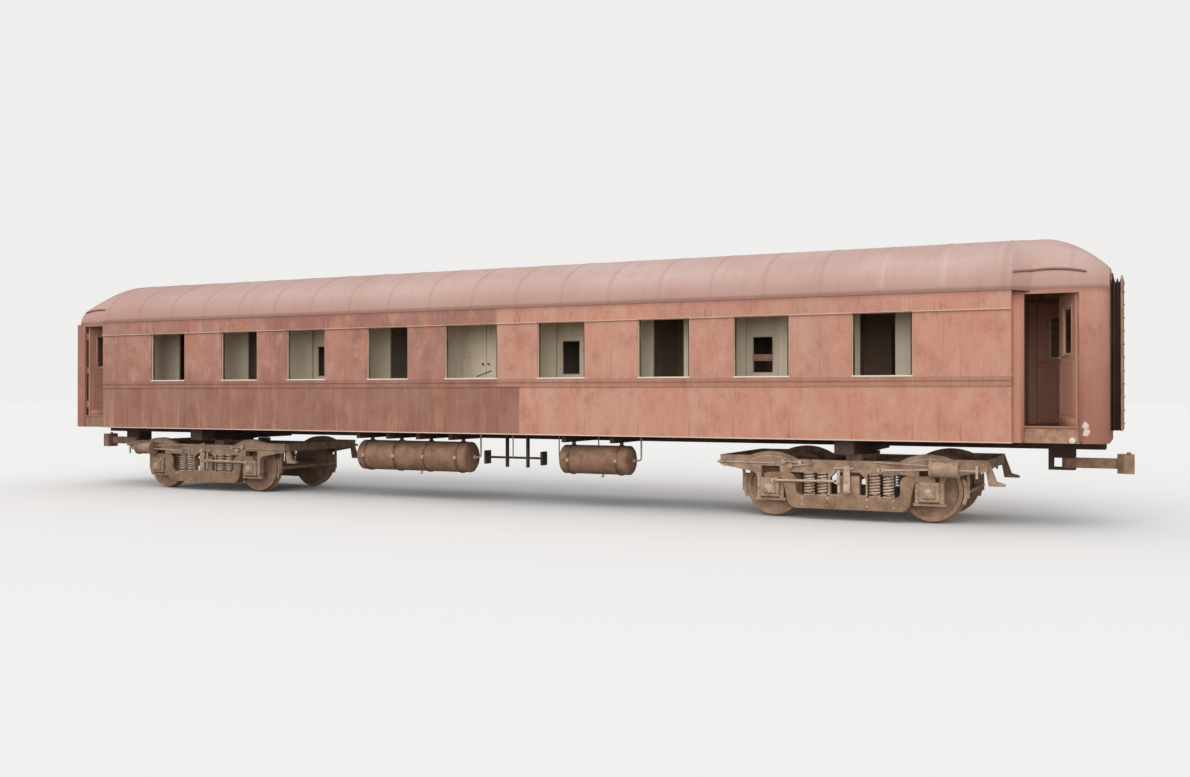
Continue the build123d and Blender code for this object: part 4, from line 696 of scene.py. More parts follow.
def carry(profile, path, up, loop=False):
    """Profile carried along a path: point = path + a * side + b * lift, mitred at corners.

    side is the path's direction crossed with up, and lift is side crossed with the direction.
    A clockwise profile is turned round, so that the faces always point outwards.
    """
    profile, path = np.asarray(profile, float), np.asarray(path, float)
    ahead = np.roll(profile, -1, axis=0)
    if np.sum(profile[:, 0] * ahead[:, 1] - profile[:, 1] * ahead[:, 0]) < 0:
        profile = profile[::-1]
    after = np.roll(path, -1, axis=0) - path
    if not loop:
        after[-1] = after[-2]
    before = np.roll(after, 1, axis=0)
    if not loop:
        before[0] = after[0]
    side_after = unit(np.cross(after, up))
    side_before = unit(np.cross(before, up))
    side = (side_after + side_before) / (1.0 + np.sum(side_after * side_before, axis=1, keepdims=True))
    lift = np.cross(unit(side), unit(unit(after) + unit(before)))
    return path[:, None] + profile[None, :, :1] * side[:, None] + profile[None, :, 1:] * lift[:, None]


def lathe(stations, centre, axis, around=16):
    """Radius r at height h, turned: point = centre + h * axis + r * (cos t * u - sin t * v)."""
    axis = unit(np.asarray(axis, float))
    u = unit(np.cross(axis, (0.31, 0.87, 0.38)))
    v = np.cross(axis, u)
    stations = np.asarray(stations, float)
    turn = np.linspace(0, 2 * np.pi, around, endpoint=False)
    ring = np.cos(turn)[:, None] * u - np.sin(turn)[:, None] * v
    return centre + stations[:, 1, None, None] * axis + stations[:, 0, None, None] * ring[None]


def skin(grid, loop=False):
    """Quads between the neighbouring rings of a grid, and a flat cap on each open end."""
    rings, around = grid.shape[:2]
    index = np.arange(rings * around).reshape(rings, around)
    if loop:
        index = np.vstack([index, index[:1]])
    beside = np.roll(index, -1, axis=1)
    faces = [np.stack([index[:-1], index[1:], beside[1:], beside[:-1]], axis=-1).reshape(-1, 4)]
    if not loop:
        faces += [index[:1], index[-1:, ::-1]]
    return grid.reshape(-1, 3), faces


BOX_CORNERS = np.array([(0, 0, 0), (1, 0, 0), (1, 1, 0), (0, 1, 0),
                        (0, 0, 1), (1, 0, 1), (1, 1, 1), (0, 1, 1)])
BOX_FACES = np.array([(0, 3, 2, 1), (4, 5, 6, 7), (0, 1, 5, 4), (1, 2, 6, 5), (2, 3, 7, 6), (3, 0, 4, 7)])


def bars(rows):
    """Rectangular bars, one a row of x0, y0, z0, x1, y1, z1: corner = low + c * (high - low)."""
    rows = np.asarray(rows, float)
    low, high = rows[:, None, :3], rows[:, None, 3:]
    points = low + BOX_CORNERS[None] * (high - low)
    faces = BOX_FACES[None] + 8 * np.arange(len(rows))[:, None, None]
    return points.reshape(-1, 3), [faces.reshape(-1, 4)]


def scatter(patch, places):
    """One shape repeated: point = shape + place, for every place at once."""
    points, faces = patch
    places = np.asarray(places, float)
    shift = len(points) * np.arange(len(places))
    copies = (places[:, None] + points[None]).reshape(-1, 3)
    return copies, [(face[None] + shift[:, None, None]).reshape(-1, face.shape[1]) for face in faces]


def joined(patches):
    """Several patches as one, the face numbers shifted past the points before them."""
    counts = np.cumsum([0] + [len(points) for points, _ in patches])
    faces = [face + start for (_, group), start in zip(patches, counts) for face in group]
    return np.concatenate([points for points, _ in patches]), faces


def placed(patch, scale=(1, 1, 1), shift=(0, 0, 0)):
    """point = scale * point + shift; a mirrored patch has its faces turned to point outwards again."""
    points, faces = patch
    if np.prod(scale) < 0:
        faces = [face[:, ::-1] for face in faces]
    return points * np.asarray(scale, float) + np.asarray(shift, float), faces


def framed(patch, origin, along, out):
    """Local u, v, z put at origin + u * along + v * out + z * up, faces kept outwards."""
    points, faces = patch
    along, out = np.asarray(along, float), np.asarray(out, float)
    if np.cross(along, out)[2] < 0:
        faces = [face[:, ::-1] for face in faces]
    up = np.array([0.0, 0.0, 1.0])
    return np.asarray(origin) + points[:, :1] * along + points[:, 1:2] * out + points[:, 2:] * up, faces


def circle(radius, around=10):
    """Circular section: a = radius * cos t, b = radius * sin t."""
    turn = np.linspace(0, 2 * np.pi, around, endpoint=False)
    return np.stack([radius * np.cos(turn), radius * np.sin(turn)], axis=1)


def oblong(a0, a1, b0, b1):
    """Rectangular section with a from a0 to a1 and b from b0 to b1, anticlockwise."""
    return np.array([(a0, b0), (a1, b0), (a1, b1), (a0, b1)])


def round_bar(start, end, radius, around=10):
    """Round bar: a circle carried from start to end."""
    path = np.array([start, end], float)
    direction = np.abs(path[1] - path[0])
    up = np.eye(3)[int(np.argmin(direction))]
    return skin(carry(circle(radius, around), path, up))


def boss(centre, axis, radius, height, around=16, edge=0.2):
    """Low turned boss with a rounded rim, from centre out along axis."""
    soft = min(radius, height) * edge
    stations = [(radius, 0), (radius, height - soft),
                (radius - soft * 0.3, height - soft * 0.3), (radius - soft, height)]
    return skin(lathe(stations, centre, axis, around))


def bolt_head(axis, size=0.014):
    """Six-sided head on a washer, drawn at the origin."""
    washer = lathe([(size * 1.35, 0), (size * 1.35, size * 0.2)], (0, 0, 0), axis, 8)
    head = lathe([(size, size * 0.2), (size, size * 0.75), (size * 0.8, size * 0.9)], (0, 0, 0), axis, 6)
    return joined([skin(washer), skin(head)])


made = {}
SMOOTH_BELOW = math.radians(38)
BEVEL_ABOVE = math.radians(40)


def make_piece(name, patches, finish, body="carbody", bevel=0.0, smooth=False):
    """One mesh object from patches, at the origin, painted and riding on a body."""
    points, faces = joined(patches)
    corners = np.concatenate([face.ravel() for face in faces]).astype(np.int32)
    sizes = np.concatenate([np.full(len(face), face.shape[1]) for face in faces]).astype(np.int32)
    mesh = bpy.data.meshes.new(name)
    mesh.vertices.add(len(points))
    mesh.vertices.foreach_set("co", points.astype(np.float32).ravel())
    mesh.loops.add(len(corners))
    mesh.loops.foreach_set("vertex_index", corners)
    mesh.polygons.add(len(sizes))
    mesh.polygons.foreach_set("loop_start", (np.cumsum(sizes) - sizes).astype(np.int32))
    mesh.update(calc_edges=True)
    mesh.validate()
    if smooth:
        mesh.set_sharp_from_angle(angle=SMOOTH_BELOW)
    obj = bpy.data.objects.new(name, mesh)
    bpy.context.scene.collection.objects.link(obj)
    if bevel:
        soft = obj.modifiers.new("soft_edges", "BEVEL")
        soft.width = bevel
        soft.segments = 1
        soft.limit_method = "ANGLE"
        soft.angle_limit = BEVEL_ABOVE
    paint(obj, finishes[finish])
    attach(obj, body)
    made[name] = len(sizes)
    return obj


def both_ways(*patches):
    """Patches drawn at -Y and their mirror images at +Y."""
    return [*patches, *(placed(patch, (1, -1, 1)) for patch in patches)]


def at_ends(patches):
    """Patches drawn at the end at +X and their mirror images at the other end."""
    return [placed(patch, (end, 1, 1)) for _, end in ENDS for patch in patches]


# %% [markdown]
# The gangway hoods are proofed canvas, folded like an accordion and held by the end wall on one
# side and the face plate on the other. Each is one long strip: it starts at the sill, goes up, over
# the top and down again, and its section is a row of pleats. The depth of the pleats wanders a
# little along the strip, as old canvas does.

# %% Gangway canvas
HOOD_HALF = 0.560
HOOD_LOW = 1.418
HOOD_TOP = 3.628
HOOD_CORNER = 0.120
HOOD_START = 10.160
HOOD_LENGTH = 0.140
PLEATS = 3
PLEAT_DEPTH = 0.058
PATH_GAP = 0.004
WAVE = 0.012
CLOTH_T = 0.003


def hood_path():
    """Up one side, round a corner, over the top and down: straight runs and two quarter circles."""
    rise = np.linspace(HOOD_LOW, HOOD_TOP - HOOD_CORNER, 34)
    turn = np.linspace(0, np.pi / 2, 9)[1:-1]
    left = np.stack([np.full_like(rise, -HOOD_HALF), rise], axis=1)
    bend = np.stack([-HOOD_HALF + HOOD_CORNER * (1 - np.cos(turn)),
                     HOOD_TOP - HOOD_CORNER * (1 - np.sin(turn))], axis=1)
    flat = np.linspace(-HOOD_HALF + HOOD_CORNER, HOOD_HALF - HOOD_CORNER, 15)
    top = np.stack([flat, np.full_like(flat, HOOD_TOP)], axis=1)
    half = np.concatenate([left, bend])
    return np.concatenate([half, top, half[::-1] * (-1, 1)])


def hood_cloth():
    """Pleats a(b) = gap + depth * ((1 - cos(2 pi n b / length)) / 2) ^ 0.85 in from the path.

    Slow waves along the strip, sin(5.1 s) * sin(2.3 s + 1), push the folds in by up to 12 mm.
    """
    yz = hood_path()
    path = np.column_stack([np.full(len(yz), HOOD_START), yz])
    b = np.linspace(0, HOOD_LENGTH, 37)
    pleat = 0.5 - 0.5 * np.cos(2 * np.pi * PLEATS * b / HOOD_LENGTH)
    a = PATH_GAP + PLEAT_DEPTH * pleat ** 0.85
    section = np.concatenate([np.column_stack([a + CLOTH_T, b]), np.column_stack([a, b])[::-1]])
    grid = carry(section, path, (1, 0, 0))
    along = np.concatenate([[0], np.cumsum(np.linalg.norm(np.diff(yz, axis=0), axis=1))])
    depth = np.concatenate([pleat, pleat[::-1]])
    wave = 0.5 + 0.5 * np.sin(5.1 * along) * np.sin(2.3 * along + 1.0)
    inward = np.column_stack([np.zeros(len(yz)), unit(np.array([0.0, 2.5]) - yz)])
    return grid + WAVE * (wave[:, None] * depth[None])[..., None] * inward[:, None], along[-1], a, b


cloth, hood_span, pleat_a, pleat_b = hood_cloth()
for end_name, end in ENDS:
    hood = make_piece("gangway_canvas_" + end_name, [placed(skin(cloth), (end, 1, 1))], "canvas",
                      smooth=True)
    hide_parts("gangway_bellows")

# %% [markdown]
# Each bogie side has four coil springs between the equalizer and the side frame. A coil is a circle
# carried along a helix; its two end plates are turned. The solid model has plain cylinders there,
# so these pieces stand in for them.

# %% Coil springs
BOGIE_X = 6.5
SPRING_X = (0.400, 0.610)
SPRING_Y = 1.050
SPRING_LOW = 0.3833
SPRING_HIGH = 0.7277
SPRING_R = 0.088
WIRE_R = 0.0155
SPRING_TURNS = 6.5
STEPS_A_TURN = 18
SEAT_T = 0.012
CORE_R = 0.040
CORE_WIRE_R = 0.011
CORE_PACE = 1.4
UP = (0, 0, 1)


def coil():
    """Helix: x = r cos t, y = r sin t, z rises evenly with t; a circle of wire is carried along it.

    The core spring inside is wound the other way and faster: its angle is -1.4 t.
    """
    t = np.linspace(0, 2 * np.pi * SPRING_TURNS, int(STEPS_A_TURN * SPRING_TURNS) + 1)
    low = SPRING_LOW + SEAT_T + WIRE_R * 0.8
    high = SPRING_HIGH - SEAT_T - WIRE_R * 0.8
    z = low + (high - low) * t / t[-1]
    patches = []
    for radius, pace, wire_r, around in ((SPRING_R - WIRE_R - 0.001, 1, WIRE_R, 8),
                                         (CORE_R, -CORE_PACE, CORE_WIRE_R, 6)):
        helix = np.column_stack([radius * np.cos(pace * t), radius * np.sin(pace * t), z])
        patches.append(skin(carry(circle(wire_r, around), helix, UP)))
    for z0, z1 in ((SPRING_LOW, SPRING_LOW + SEAT_T), (SPRING_HIGH - SEAT_T, SPRING_HIGH)):
        patches.append(skin(lathe([(SPRING_R, z0), (SPRING_R, z1)], (0, 0, 0), UP, 24)))
    return joined(patches)


one_coil = coil()
for end_name, end in ENDS:
    spots = [(end * BOGIE_X + side * x, y, 0)
             for x in SPRING_X for side in (-1, 1) for y in (-SPRING_Y, SPRING_Y)]
    springs = make_piece("coil_springs_" + end_name, [scatter(one_coil, spots)], "spring",
                         "bogie_" + end_name, smooth=True)
    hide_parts("springs_" + end_name)
print("springs:", 2 * len(spots), "corners each:", len(one_coil[0]))

# %% [markdown]
# Around each window opening the wall is lined with painted boards. A bright sill stands on the belt
# rail, and two dark channels on the jambs once guided a sash that is gone. The far windows are shut
# by blinds with slats. One closed section carried round the opening makes each lining.

# %% Window linings, sills and blinds
# Each window: its middle and its width.
WINDOWS = ((-7.100, 0.89), (-5.245, 0.89), (-3.620, 0.89), (-1.765, 0.89), (0.0, 1.06),
           (1.765, 0.89), (3.620, 0.89), (5.245, 0.89), (7.100, 0.89))
WINDOW_LOW = BELT_TOP
WINDOW_HIGH = 3.153
LINING_Y = -1.465
LINING = oblong(-0.001, 0.010, -0.018, 0.031)
ARCHITRAVE_Y = -1.421
ARCHITRAVE = oblong(-0.055, 0.004, -0.009, 0.009)
SILL_SECTION = np.array([(1.512, 2.200), (1.425, 2.200), (1.425, 2.222),
                         (1.500, 2.224), (1.512, 2.218)])
SILL_OVER = 0.004
SLAT_SECTION = np.array([(-0.012, -0.004), (0.012, -0.016), (0.012, -0.010), (-0.012, 0.002)])
SLATS = 17
SLAT_Y = 1.482
SLAT_SHORT = 0.040
SLAT_HEIGHTS = WINDOW_LOW + 0.065 + (WINDOW_HIGH - WINDOW_LOW - 0.10) / SLATS * np.arange(SLATS)
LOOSE_BAR = ((0.083, -1.418, 2.252), (0.366, -1.418, 2.343), 0.012)


def opening_path(x, width, y, low=WINDOW_LOW, high=WINDOW_HIGH):
    """Four corners of an opening, in the order that puts the section's a side inwards."""
    half = width / 2
    return [(x - half, y, low), (x + half, y, low), (x + half, y, high), (x - half, y, high)]


def round_openings(section, y):
    """A section carried round every window opening at -Y, and mirrored at +Y."""
    return both_ways(*[skin(carry(section, opening_path(x, width, y), (0, 1, 0), True), True)
                       for x, width in WINDOWS])


def across_openings(section, y, z, over):
    """A section carried along x under or over every opening, past its edges by over."""
    return [skin(carry(section, [(x - width / 2 - over, y, z), (x + width / 2 + over, y, z)], (0, 0, 1)))
            for x, width in WINDOWS]


def jamb_bars(inset, half, y0, y1, foot, head):
    """Upright bars beside both jambs: their middle is x + side * (width / 2 - inset)."""
    return bars([(x + side * (width / 2 - inset) - half, y0, WINDOW_LOW + foot,
                  x + side * (width / 2 - inset) + half, y1, WINDOW_HIGH - head)
                 for x, width in WINDOWS for side in (-1, 1)])


make_piece("window_linings", round_openings(LINING, LINING_Y), "lining", bevel=0.002)
make_piece("window_architraves", round_openings(ARCHITRAVE, ARCHITRAVE_Y), "lining",
           bevel=0.003)
make_piece("window_sills", both_ways(*across_openings(SILL_SECTION, 0, 0, SILL_OVER)), "pale",
           bevel=0.002)
make_piece("sash_channels", [jamb_bars(0.022, 0.013, -1.462, -1.444, 0.024, 0.010)], "dark_wood",
           bevel=0.002)
slats = [slat for z in SLAT_HEIGHTS for slat in across_openings(SLAT_SECTION, SLAT_Y, z, -SLAT_SHORT)]
make_piece("blind_slats", slats + [jamb_bars(0.026, 0.022, 1.472, 1.492, 0.020, 0.010)], "shutter")
make_piece("loose_sash_bar", [round_bar(*LOOSE_BAR)], "dark_wood", smooth=True)
print("blind slats:", len(slats))

# %% [markdown]
# The sides are made of sheets. Where two sheets meet there is a thin cover strip: below the belt in
# line with the window edges, and in pairs on the letterboard. A white rubbing strip runs along the
# bottom edge, and is the brightest line on the whole coach.

# %% Strips on the sides
SIDE_END = 8.910
WALL_FACES = (-1.502, -1.499)
LETTER_FACES = (-1.514, -1.509)
END_JOINT = 8.22
PIER_JOINTS = (-END_JOINT, -6.17, -2.70, 2.70, 6.17, END_JOINT)
SHEET_EDGES = sorted({round(x + side * width / 2, 4) for x, width in WINDOWS for side in (-1, 1)}
                     | {-END_JOINT, END_JOINT})
LETTER_JOINTS = [x + shift for x in (-6.6, -3.14, 0.93, 4.38, 7.9) for shift in (-0.045, 0.045)]


def uprights(places, half, faces, low, high):
    """Rows for upright strips: x - half to x + half, between two faces and two heights."""
    return [(x - half, faces[0], low, x + half, faces[1], high) for x in places]


strips = bars(uprights(SHEET_EDGES, 0.010, WALL_FACES, 1.275, 2.056)
              + uprights(PIER_JOINTS, 0.008, WALL_FACES, 2.201, 3.143)
              + uprights(LETTER_JOINTS, 0.014, LETTER_FACES, 3.170, 3.412))
for side_name, patch in zip(("corridor", "rooms"), both_ways(strips)):
    make_piece("panel_strips_" + side_name, [patch], "side", bevel=0.001)
rubbing = bars([(-SIDE_END, -1.506, 1.2485, SIDE_END, -1.499, 1.264)])
make_piece("rubbing_strips", both_ways(rubbing), "edge", bevel=0.002)
print("joints below the belt:", len(SHEET_EDGES), "on the letterboard:", len(LETTER_JOINTS))

# %% [markdown]
# The roof covering is laid in sheets across the coach, and a narrow strap covers each joint. The
# roof section is a flat crown arc that runs into two tighter haunch arcs; the same arithmetic that
# made the solid gives the straps their line here, one strap every 0.88 m.

# %% Roof straps
# Each arch: x, half the width at the eaves, rise of the crown, and radius of the haunches.
ARCHES = [(STRAP_PITCH * k, 1.500, 0.860, 0.620) for k in range(-10, 11)]
ARCHES += [(x, 1.200, 0.860, 0.520) for x in (-9.20, 9.20)]
STRAP = oblong(-0.004, 0.002, -0.020, 0.020)


def roof_arch(x, half, rise, radius):
    """Point at angle t from upright = arc centre + arc radius * (-sin t, cos t), for three arcs."""
    flat = half - radius
    crown = (flat ** 2 + rise ** 2 - radius ** 2) / (2 * (rise - radius))
    centre_z = EAVE_Z + rise - crown
    limit = np.arctan2(flat, EAVE_Z - centre_z)
    t = np.linspace(np.pi / 2, -np.pi / 2, 61)
    haunch = np.abs(t) > limit
    y = np.where(haunch, -np.sign(t) * flat - radius * np.sin(t), -crown * np.sin(t))
    z = np.where(haunch, EAVE_Z + radius * np.cos(t), centre_z + crown * np.cos(t))
    return np.column_stack([np.full_like(t, x), y, z])


roof_straps = [skin(carry(STRAP, roof_arch(*row), (1, 0, 0))) for row in ARCHES]
make_piece("roof_straps", roof_straps, "roof", smooth=True)
print("roof straps:", len(roof_straps))

# %% [markdown]
# Doors get their small work in their own frame: u runs from the hinge across the leaf, v points out
# of the coach and z up. The same recipe then serves every door, whichever way it hangs, and the
# piece rides on the door's body. Hinge places come from the record of the solid model.

# %% Door trim
BEAD = oblong(-0.026, 0.004, 0.0, 0.007)
SASH = oblong(0.002, 0.030, -0.007, 0.007)
PANEL_BEAD = np.array([(-0.010, 0.0), (0.010, 0.0), (0.006, 0.005), (-0.006, 0.005)])
LEAF_IN, LEAF_MIDDLE, LEAF_OUT = 0.029, 0.049, 0.069
WINDOW_HALF = 0.200
DOOR_WINDOW = (2.508, 3.198)
DOOR_PANEL = (1.66, 2.40)
PANEL_IN = 0.085
KICK_LOW, KICK_HIGH = 1.485, 1.600
KICK_IN = 0.040
KICK_T = 0.003
LOCK_Z = 2.47
joint_rows = frame["record"]["behaviour"]["joints"]
joint_place = {row["name"]: row["pos_m"] for row in joint_rows if "pos_m" in row}


def loop_on(face_v, outward, section, u0, u1, z0, z1):
    """A section carried round a rectangle on one face of a leaf, a inwards, b away from the face."""
    start, stop = (u0, u1) if outward > 0 else (u1, u0)
    corners = [(start, face_v, z0), (stop, face_v, z0), (stop, face_v, z1), (start, face_v, z1)]
    return skin(carry(section, corners, (0, outward, 0), True), True)


def door_trim(width, middle, lock_u):
    """On both faces of a leaf: window bead, panel bead, kick plate, lock plate, spindle and handle."""
    patches = []
    for face, sign in ((LEAF_OUT, 1), (LEAF_IN, -1)):
        v0, v1 = sorted((face, face + sign * KICK_T))
        grip = face + sign * 0.038
        patches += [
            loop_on(face, sign, BEAD, middle - WINDOW_HALF, middle + WINDOW_HALF, *DOOR_WINDOW),
            loop_on(face, sign, PANEL_BEAD, PANEL_IN, width - PANEL_IN, *DOOR_PANEL),
            bars([(KICK_IN, v0, KICK_LOW, width - KICK_IN, v1, KICK_HIGH)]),
            boss((lock_u, face, LOCK_Z), (0, sign, 0), 0.026, 0.008),
            round_bar((lock_u, face, LOCK_Z), (lock_u, face + sign * 0.042, LOCK_Z), 0.009),
            round_bar((lock_u + 0.012, grip, LOCK_Z), (lock_u - 0.095, grip, LOCK_Z - 0.002), 0.008)]
    return patches


def sash_frame(middle):
    """The thin frame that held the glass, in the middle of the leaf's thickness."""
    return [loop_on(LEAF_MIDDLE, 1, SASH, middle - WINDOW_HALF, middle + WINDOW_HALF, *DOOR_WINDOW)]


# %% [markdown]
# The four side doors share one leaf size. The two on the corridor side stand open as they were
# found, so their frame is turned about the hinge first. The two on the far side are shut, with
# blinds of overlapping slats in their windows.

# %% Trim on the side doors
# Each door: the way across its leaf and the way out when shut, and how far it is turned at rest.
SIDE_DOORS = (
    ("side_door_right_corridor", (-1, 0), (0, -1), -70.0),
    ("side_door_left_corridor", (1, 0), (0, -1), 80.0),
    ("side_door_right_rooms", (-1, 0), (0, 1), 0.0),
    ("side_door_left_rooms", (1, 0), (0, 1), 0.0),
)
SIDE_LEAF = (0.752, 0.376, 0.690)
BLIND_SLATS = 14
BLIND_STEP = 0.049
BLIND_ROWS = [(0.178, 0.043 + shift, 2.510 + BLIND_STEP * k, 0.574, 0.053 + shift, 2.561 + BLIND_STEP * k)
              for k in range(BLIND_SLATS) for shift in (0.004 * (k % 2),)]
for name, along, out, turn_deg in SIDE_DOORS:
    angle = math.radians(turn_deg)
    spin = np.array([[math.cos(angle), -math.sin(angle)], [math.sin(angle), math.cos(angle)]])
    px, py, _ = joint_place[name + "_hinge"]
    where = (px, py, 0), (*(spin @ along), 0.0), (*(spin @ out), 0.0)
    work = [("_trim", door_trim(*SIDE_LEAF), "door", "door_paint", 0.001),
            ("_sash", sash_frame(SIDE_LEAF[1]), "lining", "inside_paint", 0.002)]
    if turn_deg == 0.0:
        work.append(("_blind", [bars(BLIND_ROWS)], "shutter", "shutter", 0.002))
    for part, patches, finish, slot, bevel in work:
        make_piece(name + part, [framed(patch, *where) for patch in patches], finish, name, bevel=bevel)
print("side doors:", len(SIDE_DOORS), "turned:", [row[-1] for row in SIDE_DOORS])

# %% [markdown]
# The end doors are narrower and open into the gangways. They take the same trim, in a frame that
# points along the coach.

# %% Trim on the end doors
END_LEAF = (0.652, 0.328, 0.600)
for end_name, end in ENDS:
    name = "end_door_" + end_name
    px, py, _ = joint_place[name + "_hinge"]
    where = (px, py, 0), (0, -1 if py > 0 else 1, 0), (end, 0, 0)
    trim = door_trim(*END_LEAF) + sash_frame(END_LEAF[1])
    make_piece(name + "_trim", [framed(patch, *where) for patch in trim], "door", name,
               bevel=0.001)
print("door pieces:", [name for name in made if "door" in name])

# %% [markdown]
# The room doors slide a few millimetres behind the corridor wall, so nothing may stand proud of
# them. Their windows keep a thin frame within the leaf's own thickness, and the one in the eighth
# room still has a pale board nailed across it.

# %% Room doors
ROOM_WINDOW = (2.278, 2.888)
ROOM_WINDOW_WIDTH = 0.36
ROOM_SASH = oblong(-0.001, 0.020, -0.010, 0.010)
BOARD_HALF = 0.17
BOARD_FACES = (-0.011, 0.008)
BOARD_HEIGHTS = (2.480, 2.590)
BOARDED_ROOM = 8
for number in (3, 6, 8):
    name = f"room_door_{number}"
    low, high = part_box(name)
    x, y = (low[0] + high[0]) / 2, (low[1] + high[1]) / 2
    path = opening_path(x, ROOM_WINDOW_WIDTH, y, *ROOM_WINDOW)
    sash = skin(carry(ROOM_SASH, path, (0, 1, 0), True), True)
    make_piece(name + "_sash", [sash], "lining", name, bevel=0.002)
    print(name, "window middle:", round(x, 3), round(y, 3))
    if number == BOARDED_ROOM:
        board = uprights([x], BOARD_HALF, [y + face for face in BOARD_FACES], *BOARD_HEIGHTS)
        make_piece(name + "_board", [bars(board)], "plate", name, bevel=0.002)

# %% [markdown]
# The pair of leaves in the middle has two beaded panels on each leaf, and every doorway of the
# corridor is lined by a jamb that runs up, over and down.

# %% Pantry leaves and doorway jambs
PANTRY_FACE = -0.696
PANTRY_SEAM = -0.16
PANTRY_BEADS = (0.060, 0.457)
PANTRY_PANELS = ((1.60, 2.30), (2.62, 3.26))
JAMB = oblong(-0.010, 0.001, -0.021, 0.0195)
JAMB_Y = -0.68
JAMB_SHIFT = -0.23
JAMB_HALF = 0.28
FLOOR_TOP = 1.470
DOORWAY_TOP = 3.358


def over_and_down(a, b, y, low, high):
    """Four corners: up at x = a, over, and down at x = b."""
    return [(a, y, low), (a, y, high), (b, y, high), (b, y, low)]


for side_name, side in (("left", -1), ("right", 1)):
    name = "pantry_door_" + side_name
    u0, u1 = sorted(PANTRY_SEAM + side * u for u in PANTRY_BEADS)
    beads = [loop_on(PANTRY_FACE, -1, PANEL_BEAD, u0, u1, z0, z1) for z0, z1 in PANTRY_PANELS]
    make_piece(name + "_beads", beads, "leaf", name, bevel=0.001)
jambs = [over_and_down(x + JAMB_SHIFT - JAMB_HALF, x + JAMB_SHIFT + JAMB_HALF, JAMB_Y, FLOOR_TOP, DOORWAY_TOP)
         for x, _ in WINDOWS if x != 0.0]
make_piece("doorway_jambs", [skin(carry(JAMB, path, (0, 1, 0))) for path in jambs], "lining",
           bevel=0.002)
print("doorways lined:", len(jambs))

# %% [markdown]
# At each vestibule a bead frames the side doorway, and inside the end doorway a stop and a threshold
# close the gap round the shut door. The step box has a worn nosing and, on the camera's side, one
# bright round cap.

# %% Doorways and steps
SIDE_DOORWAY = (9.030, 9.800)
SIDE_BEAD = oblong(-0.026, 0.028, -0.010, 0.007) * (1, -1)
END_STOP = oblong(-0.022, 0.022, -0.0035, 0.0035)
END_STOP_PATH = [(10.1535, y, z) for y, z in ((-0.337, 1.46), (-0.337, 3.40), (0.337, 3.40), (0.337, 1.46))]
THRESHOLD = (10.151, -0.34, 1.455, 10.156, 0.34, 1.490)
NOSING = (9.050, -1.193, 1.452, 9.780, -1.165, 1.470)
TREAD = (9.030, -1.203, 1.460, 9.800, -1.190, 1.492)
STEP_BOLTS = [(end * x, -1.188, z) for _, end in ENDS for x in (9.08, 9.75) for z in (1.28, 1.43)]

side_bead = skin(carry(SIDE_BEAD, over_and_down(*SIDE_DOORWAY, -1.2, 1.27, 3.398), (0, 1, 0)))
end_stop = skin(carry(END_STOP, END_STOP_PATH, (1, 0, 0)))
doorway = both_ways(side_bead, bars([TREAD])) + [end_stop, bars([THRESHOLD])]
nosings = at_ends(both_ways(bars([NOSING]))) + both_ways(scatter(bolt_head((0, -1, 0), 0.012), STEP_BOLTS))
make_piece("doorway_beads", at_ends(doorway), "end", bevel=0.002)
make_piece("step_nosings", nosings, "plate", bevel=0.002)
cap = [boss((9.687, -1.188, 1.290), (0, -1, 0), 0.042, 0.012, 24),
       boss((9.687, -1.199, 1.290), (0, -1, 0), 0.016, 0.006, 12)]
make_piece("step_cap", cap, "pale", smooth=True)
print("step bolts:", 2 * len(STEP_BOLTS))

# %% [markdown]
# The bogies carry the most small work in the photograph: a curved band inside each hump, rods with
# fork ends, a swing link in the middle, bosses on the inner end, a rod on each side of the brake
# cylinder, and star-ribbed lids. All of it is drawn once for the corridor side of the right-hand
# bogie, with y outwards. The other three sides are mirror images.

# %% Bogie small work
FRAME_FACE = 1.110
AXLE_X = 1.219
AXLE_Z = 0.485
LID_FACE = 1.204
HUMP_SECTION = oblong(-0.009, 0.009, -0.009, 0.009)


def hump_band(x_middle):
    """Half ellipse z = 0.862 + 0.112 * sqrt(1 - (dx / 0.33)^2), a flat bar carried along it."""
    t = np.linspace(np.pi, 0, 25)
    path = np.column_stack([x_middle + 0.330 * np.cos(t), np.full_like(t, FRAME_FACE + 0.007),
                            0.862 + 0.112 * np.sin(t)])
    return skin(carry(HUMP_SECTION, path, (0, 1, 0)))


def fork(x, y, z, way):
    """Two cheeks, a pin and its eye at the end of a rod; way is the side that the rod leaves by."""
    cheeks = bars([(x - 0.045, y + v0, z - 0.026, x + 0.045, y + v1, z + 0.026)
                   for v0, v1 in ((-0.024, -0.014), (0.014, 0.024))])
    pin_x = x - way * 0.012
    return [cheeks, round_bar((pin_x, y - 0.034, z), (pin_x, y + 0.034, z), 0.015, 12),
            boss((pin_x, y + 0.024, z), (0, 1, 0), 0.030, 0.010, 14)]


def star_lid(x):
    """Sixteen-point star r = 0.078 or 0.046 by turns, carried outwards from the lid, and a boss."""
    turn = np.linspace(0, 2 * np.pi, 16, endpoint=False)
    r = np.where(np.arange(16) % 2 == 0, 0.078, 0.046)
    section = np.column_stack([r * np.cos(turn), r * np.sin(turn)])
    path = [(x, LID_FACE - 0.002, AXLE_Z), (x, LID_FACE + 0.009, AXLE_Z)]
    middle = boss((x, LID_FACE + 0.008, AXLE_Z), (0, 1, 0), 0.034, 0.012, 16)
    return [skin(carry(section, path, UP)), middle]


print("frame face:", FRAME_FACE, "axles:", (-AXLE_X, AXLE_X), "at height", AXLE_Z)

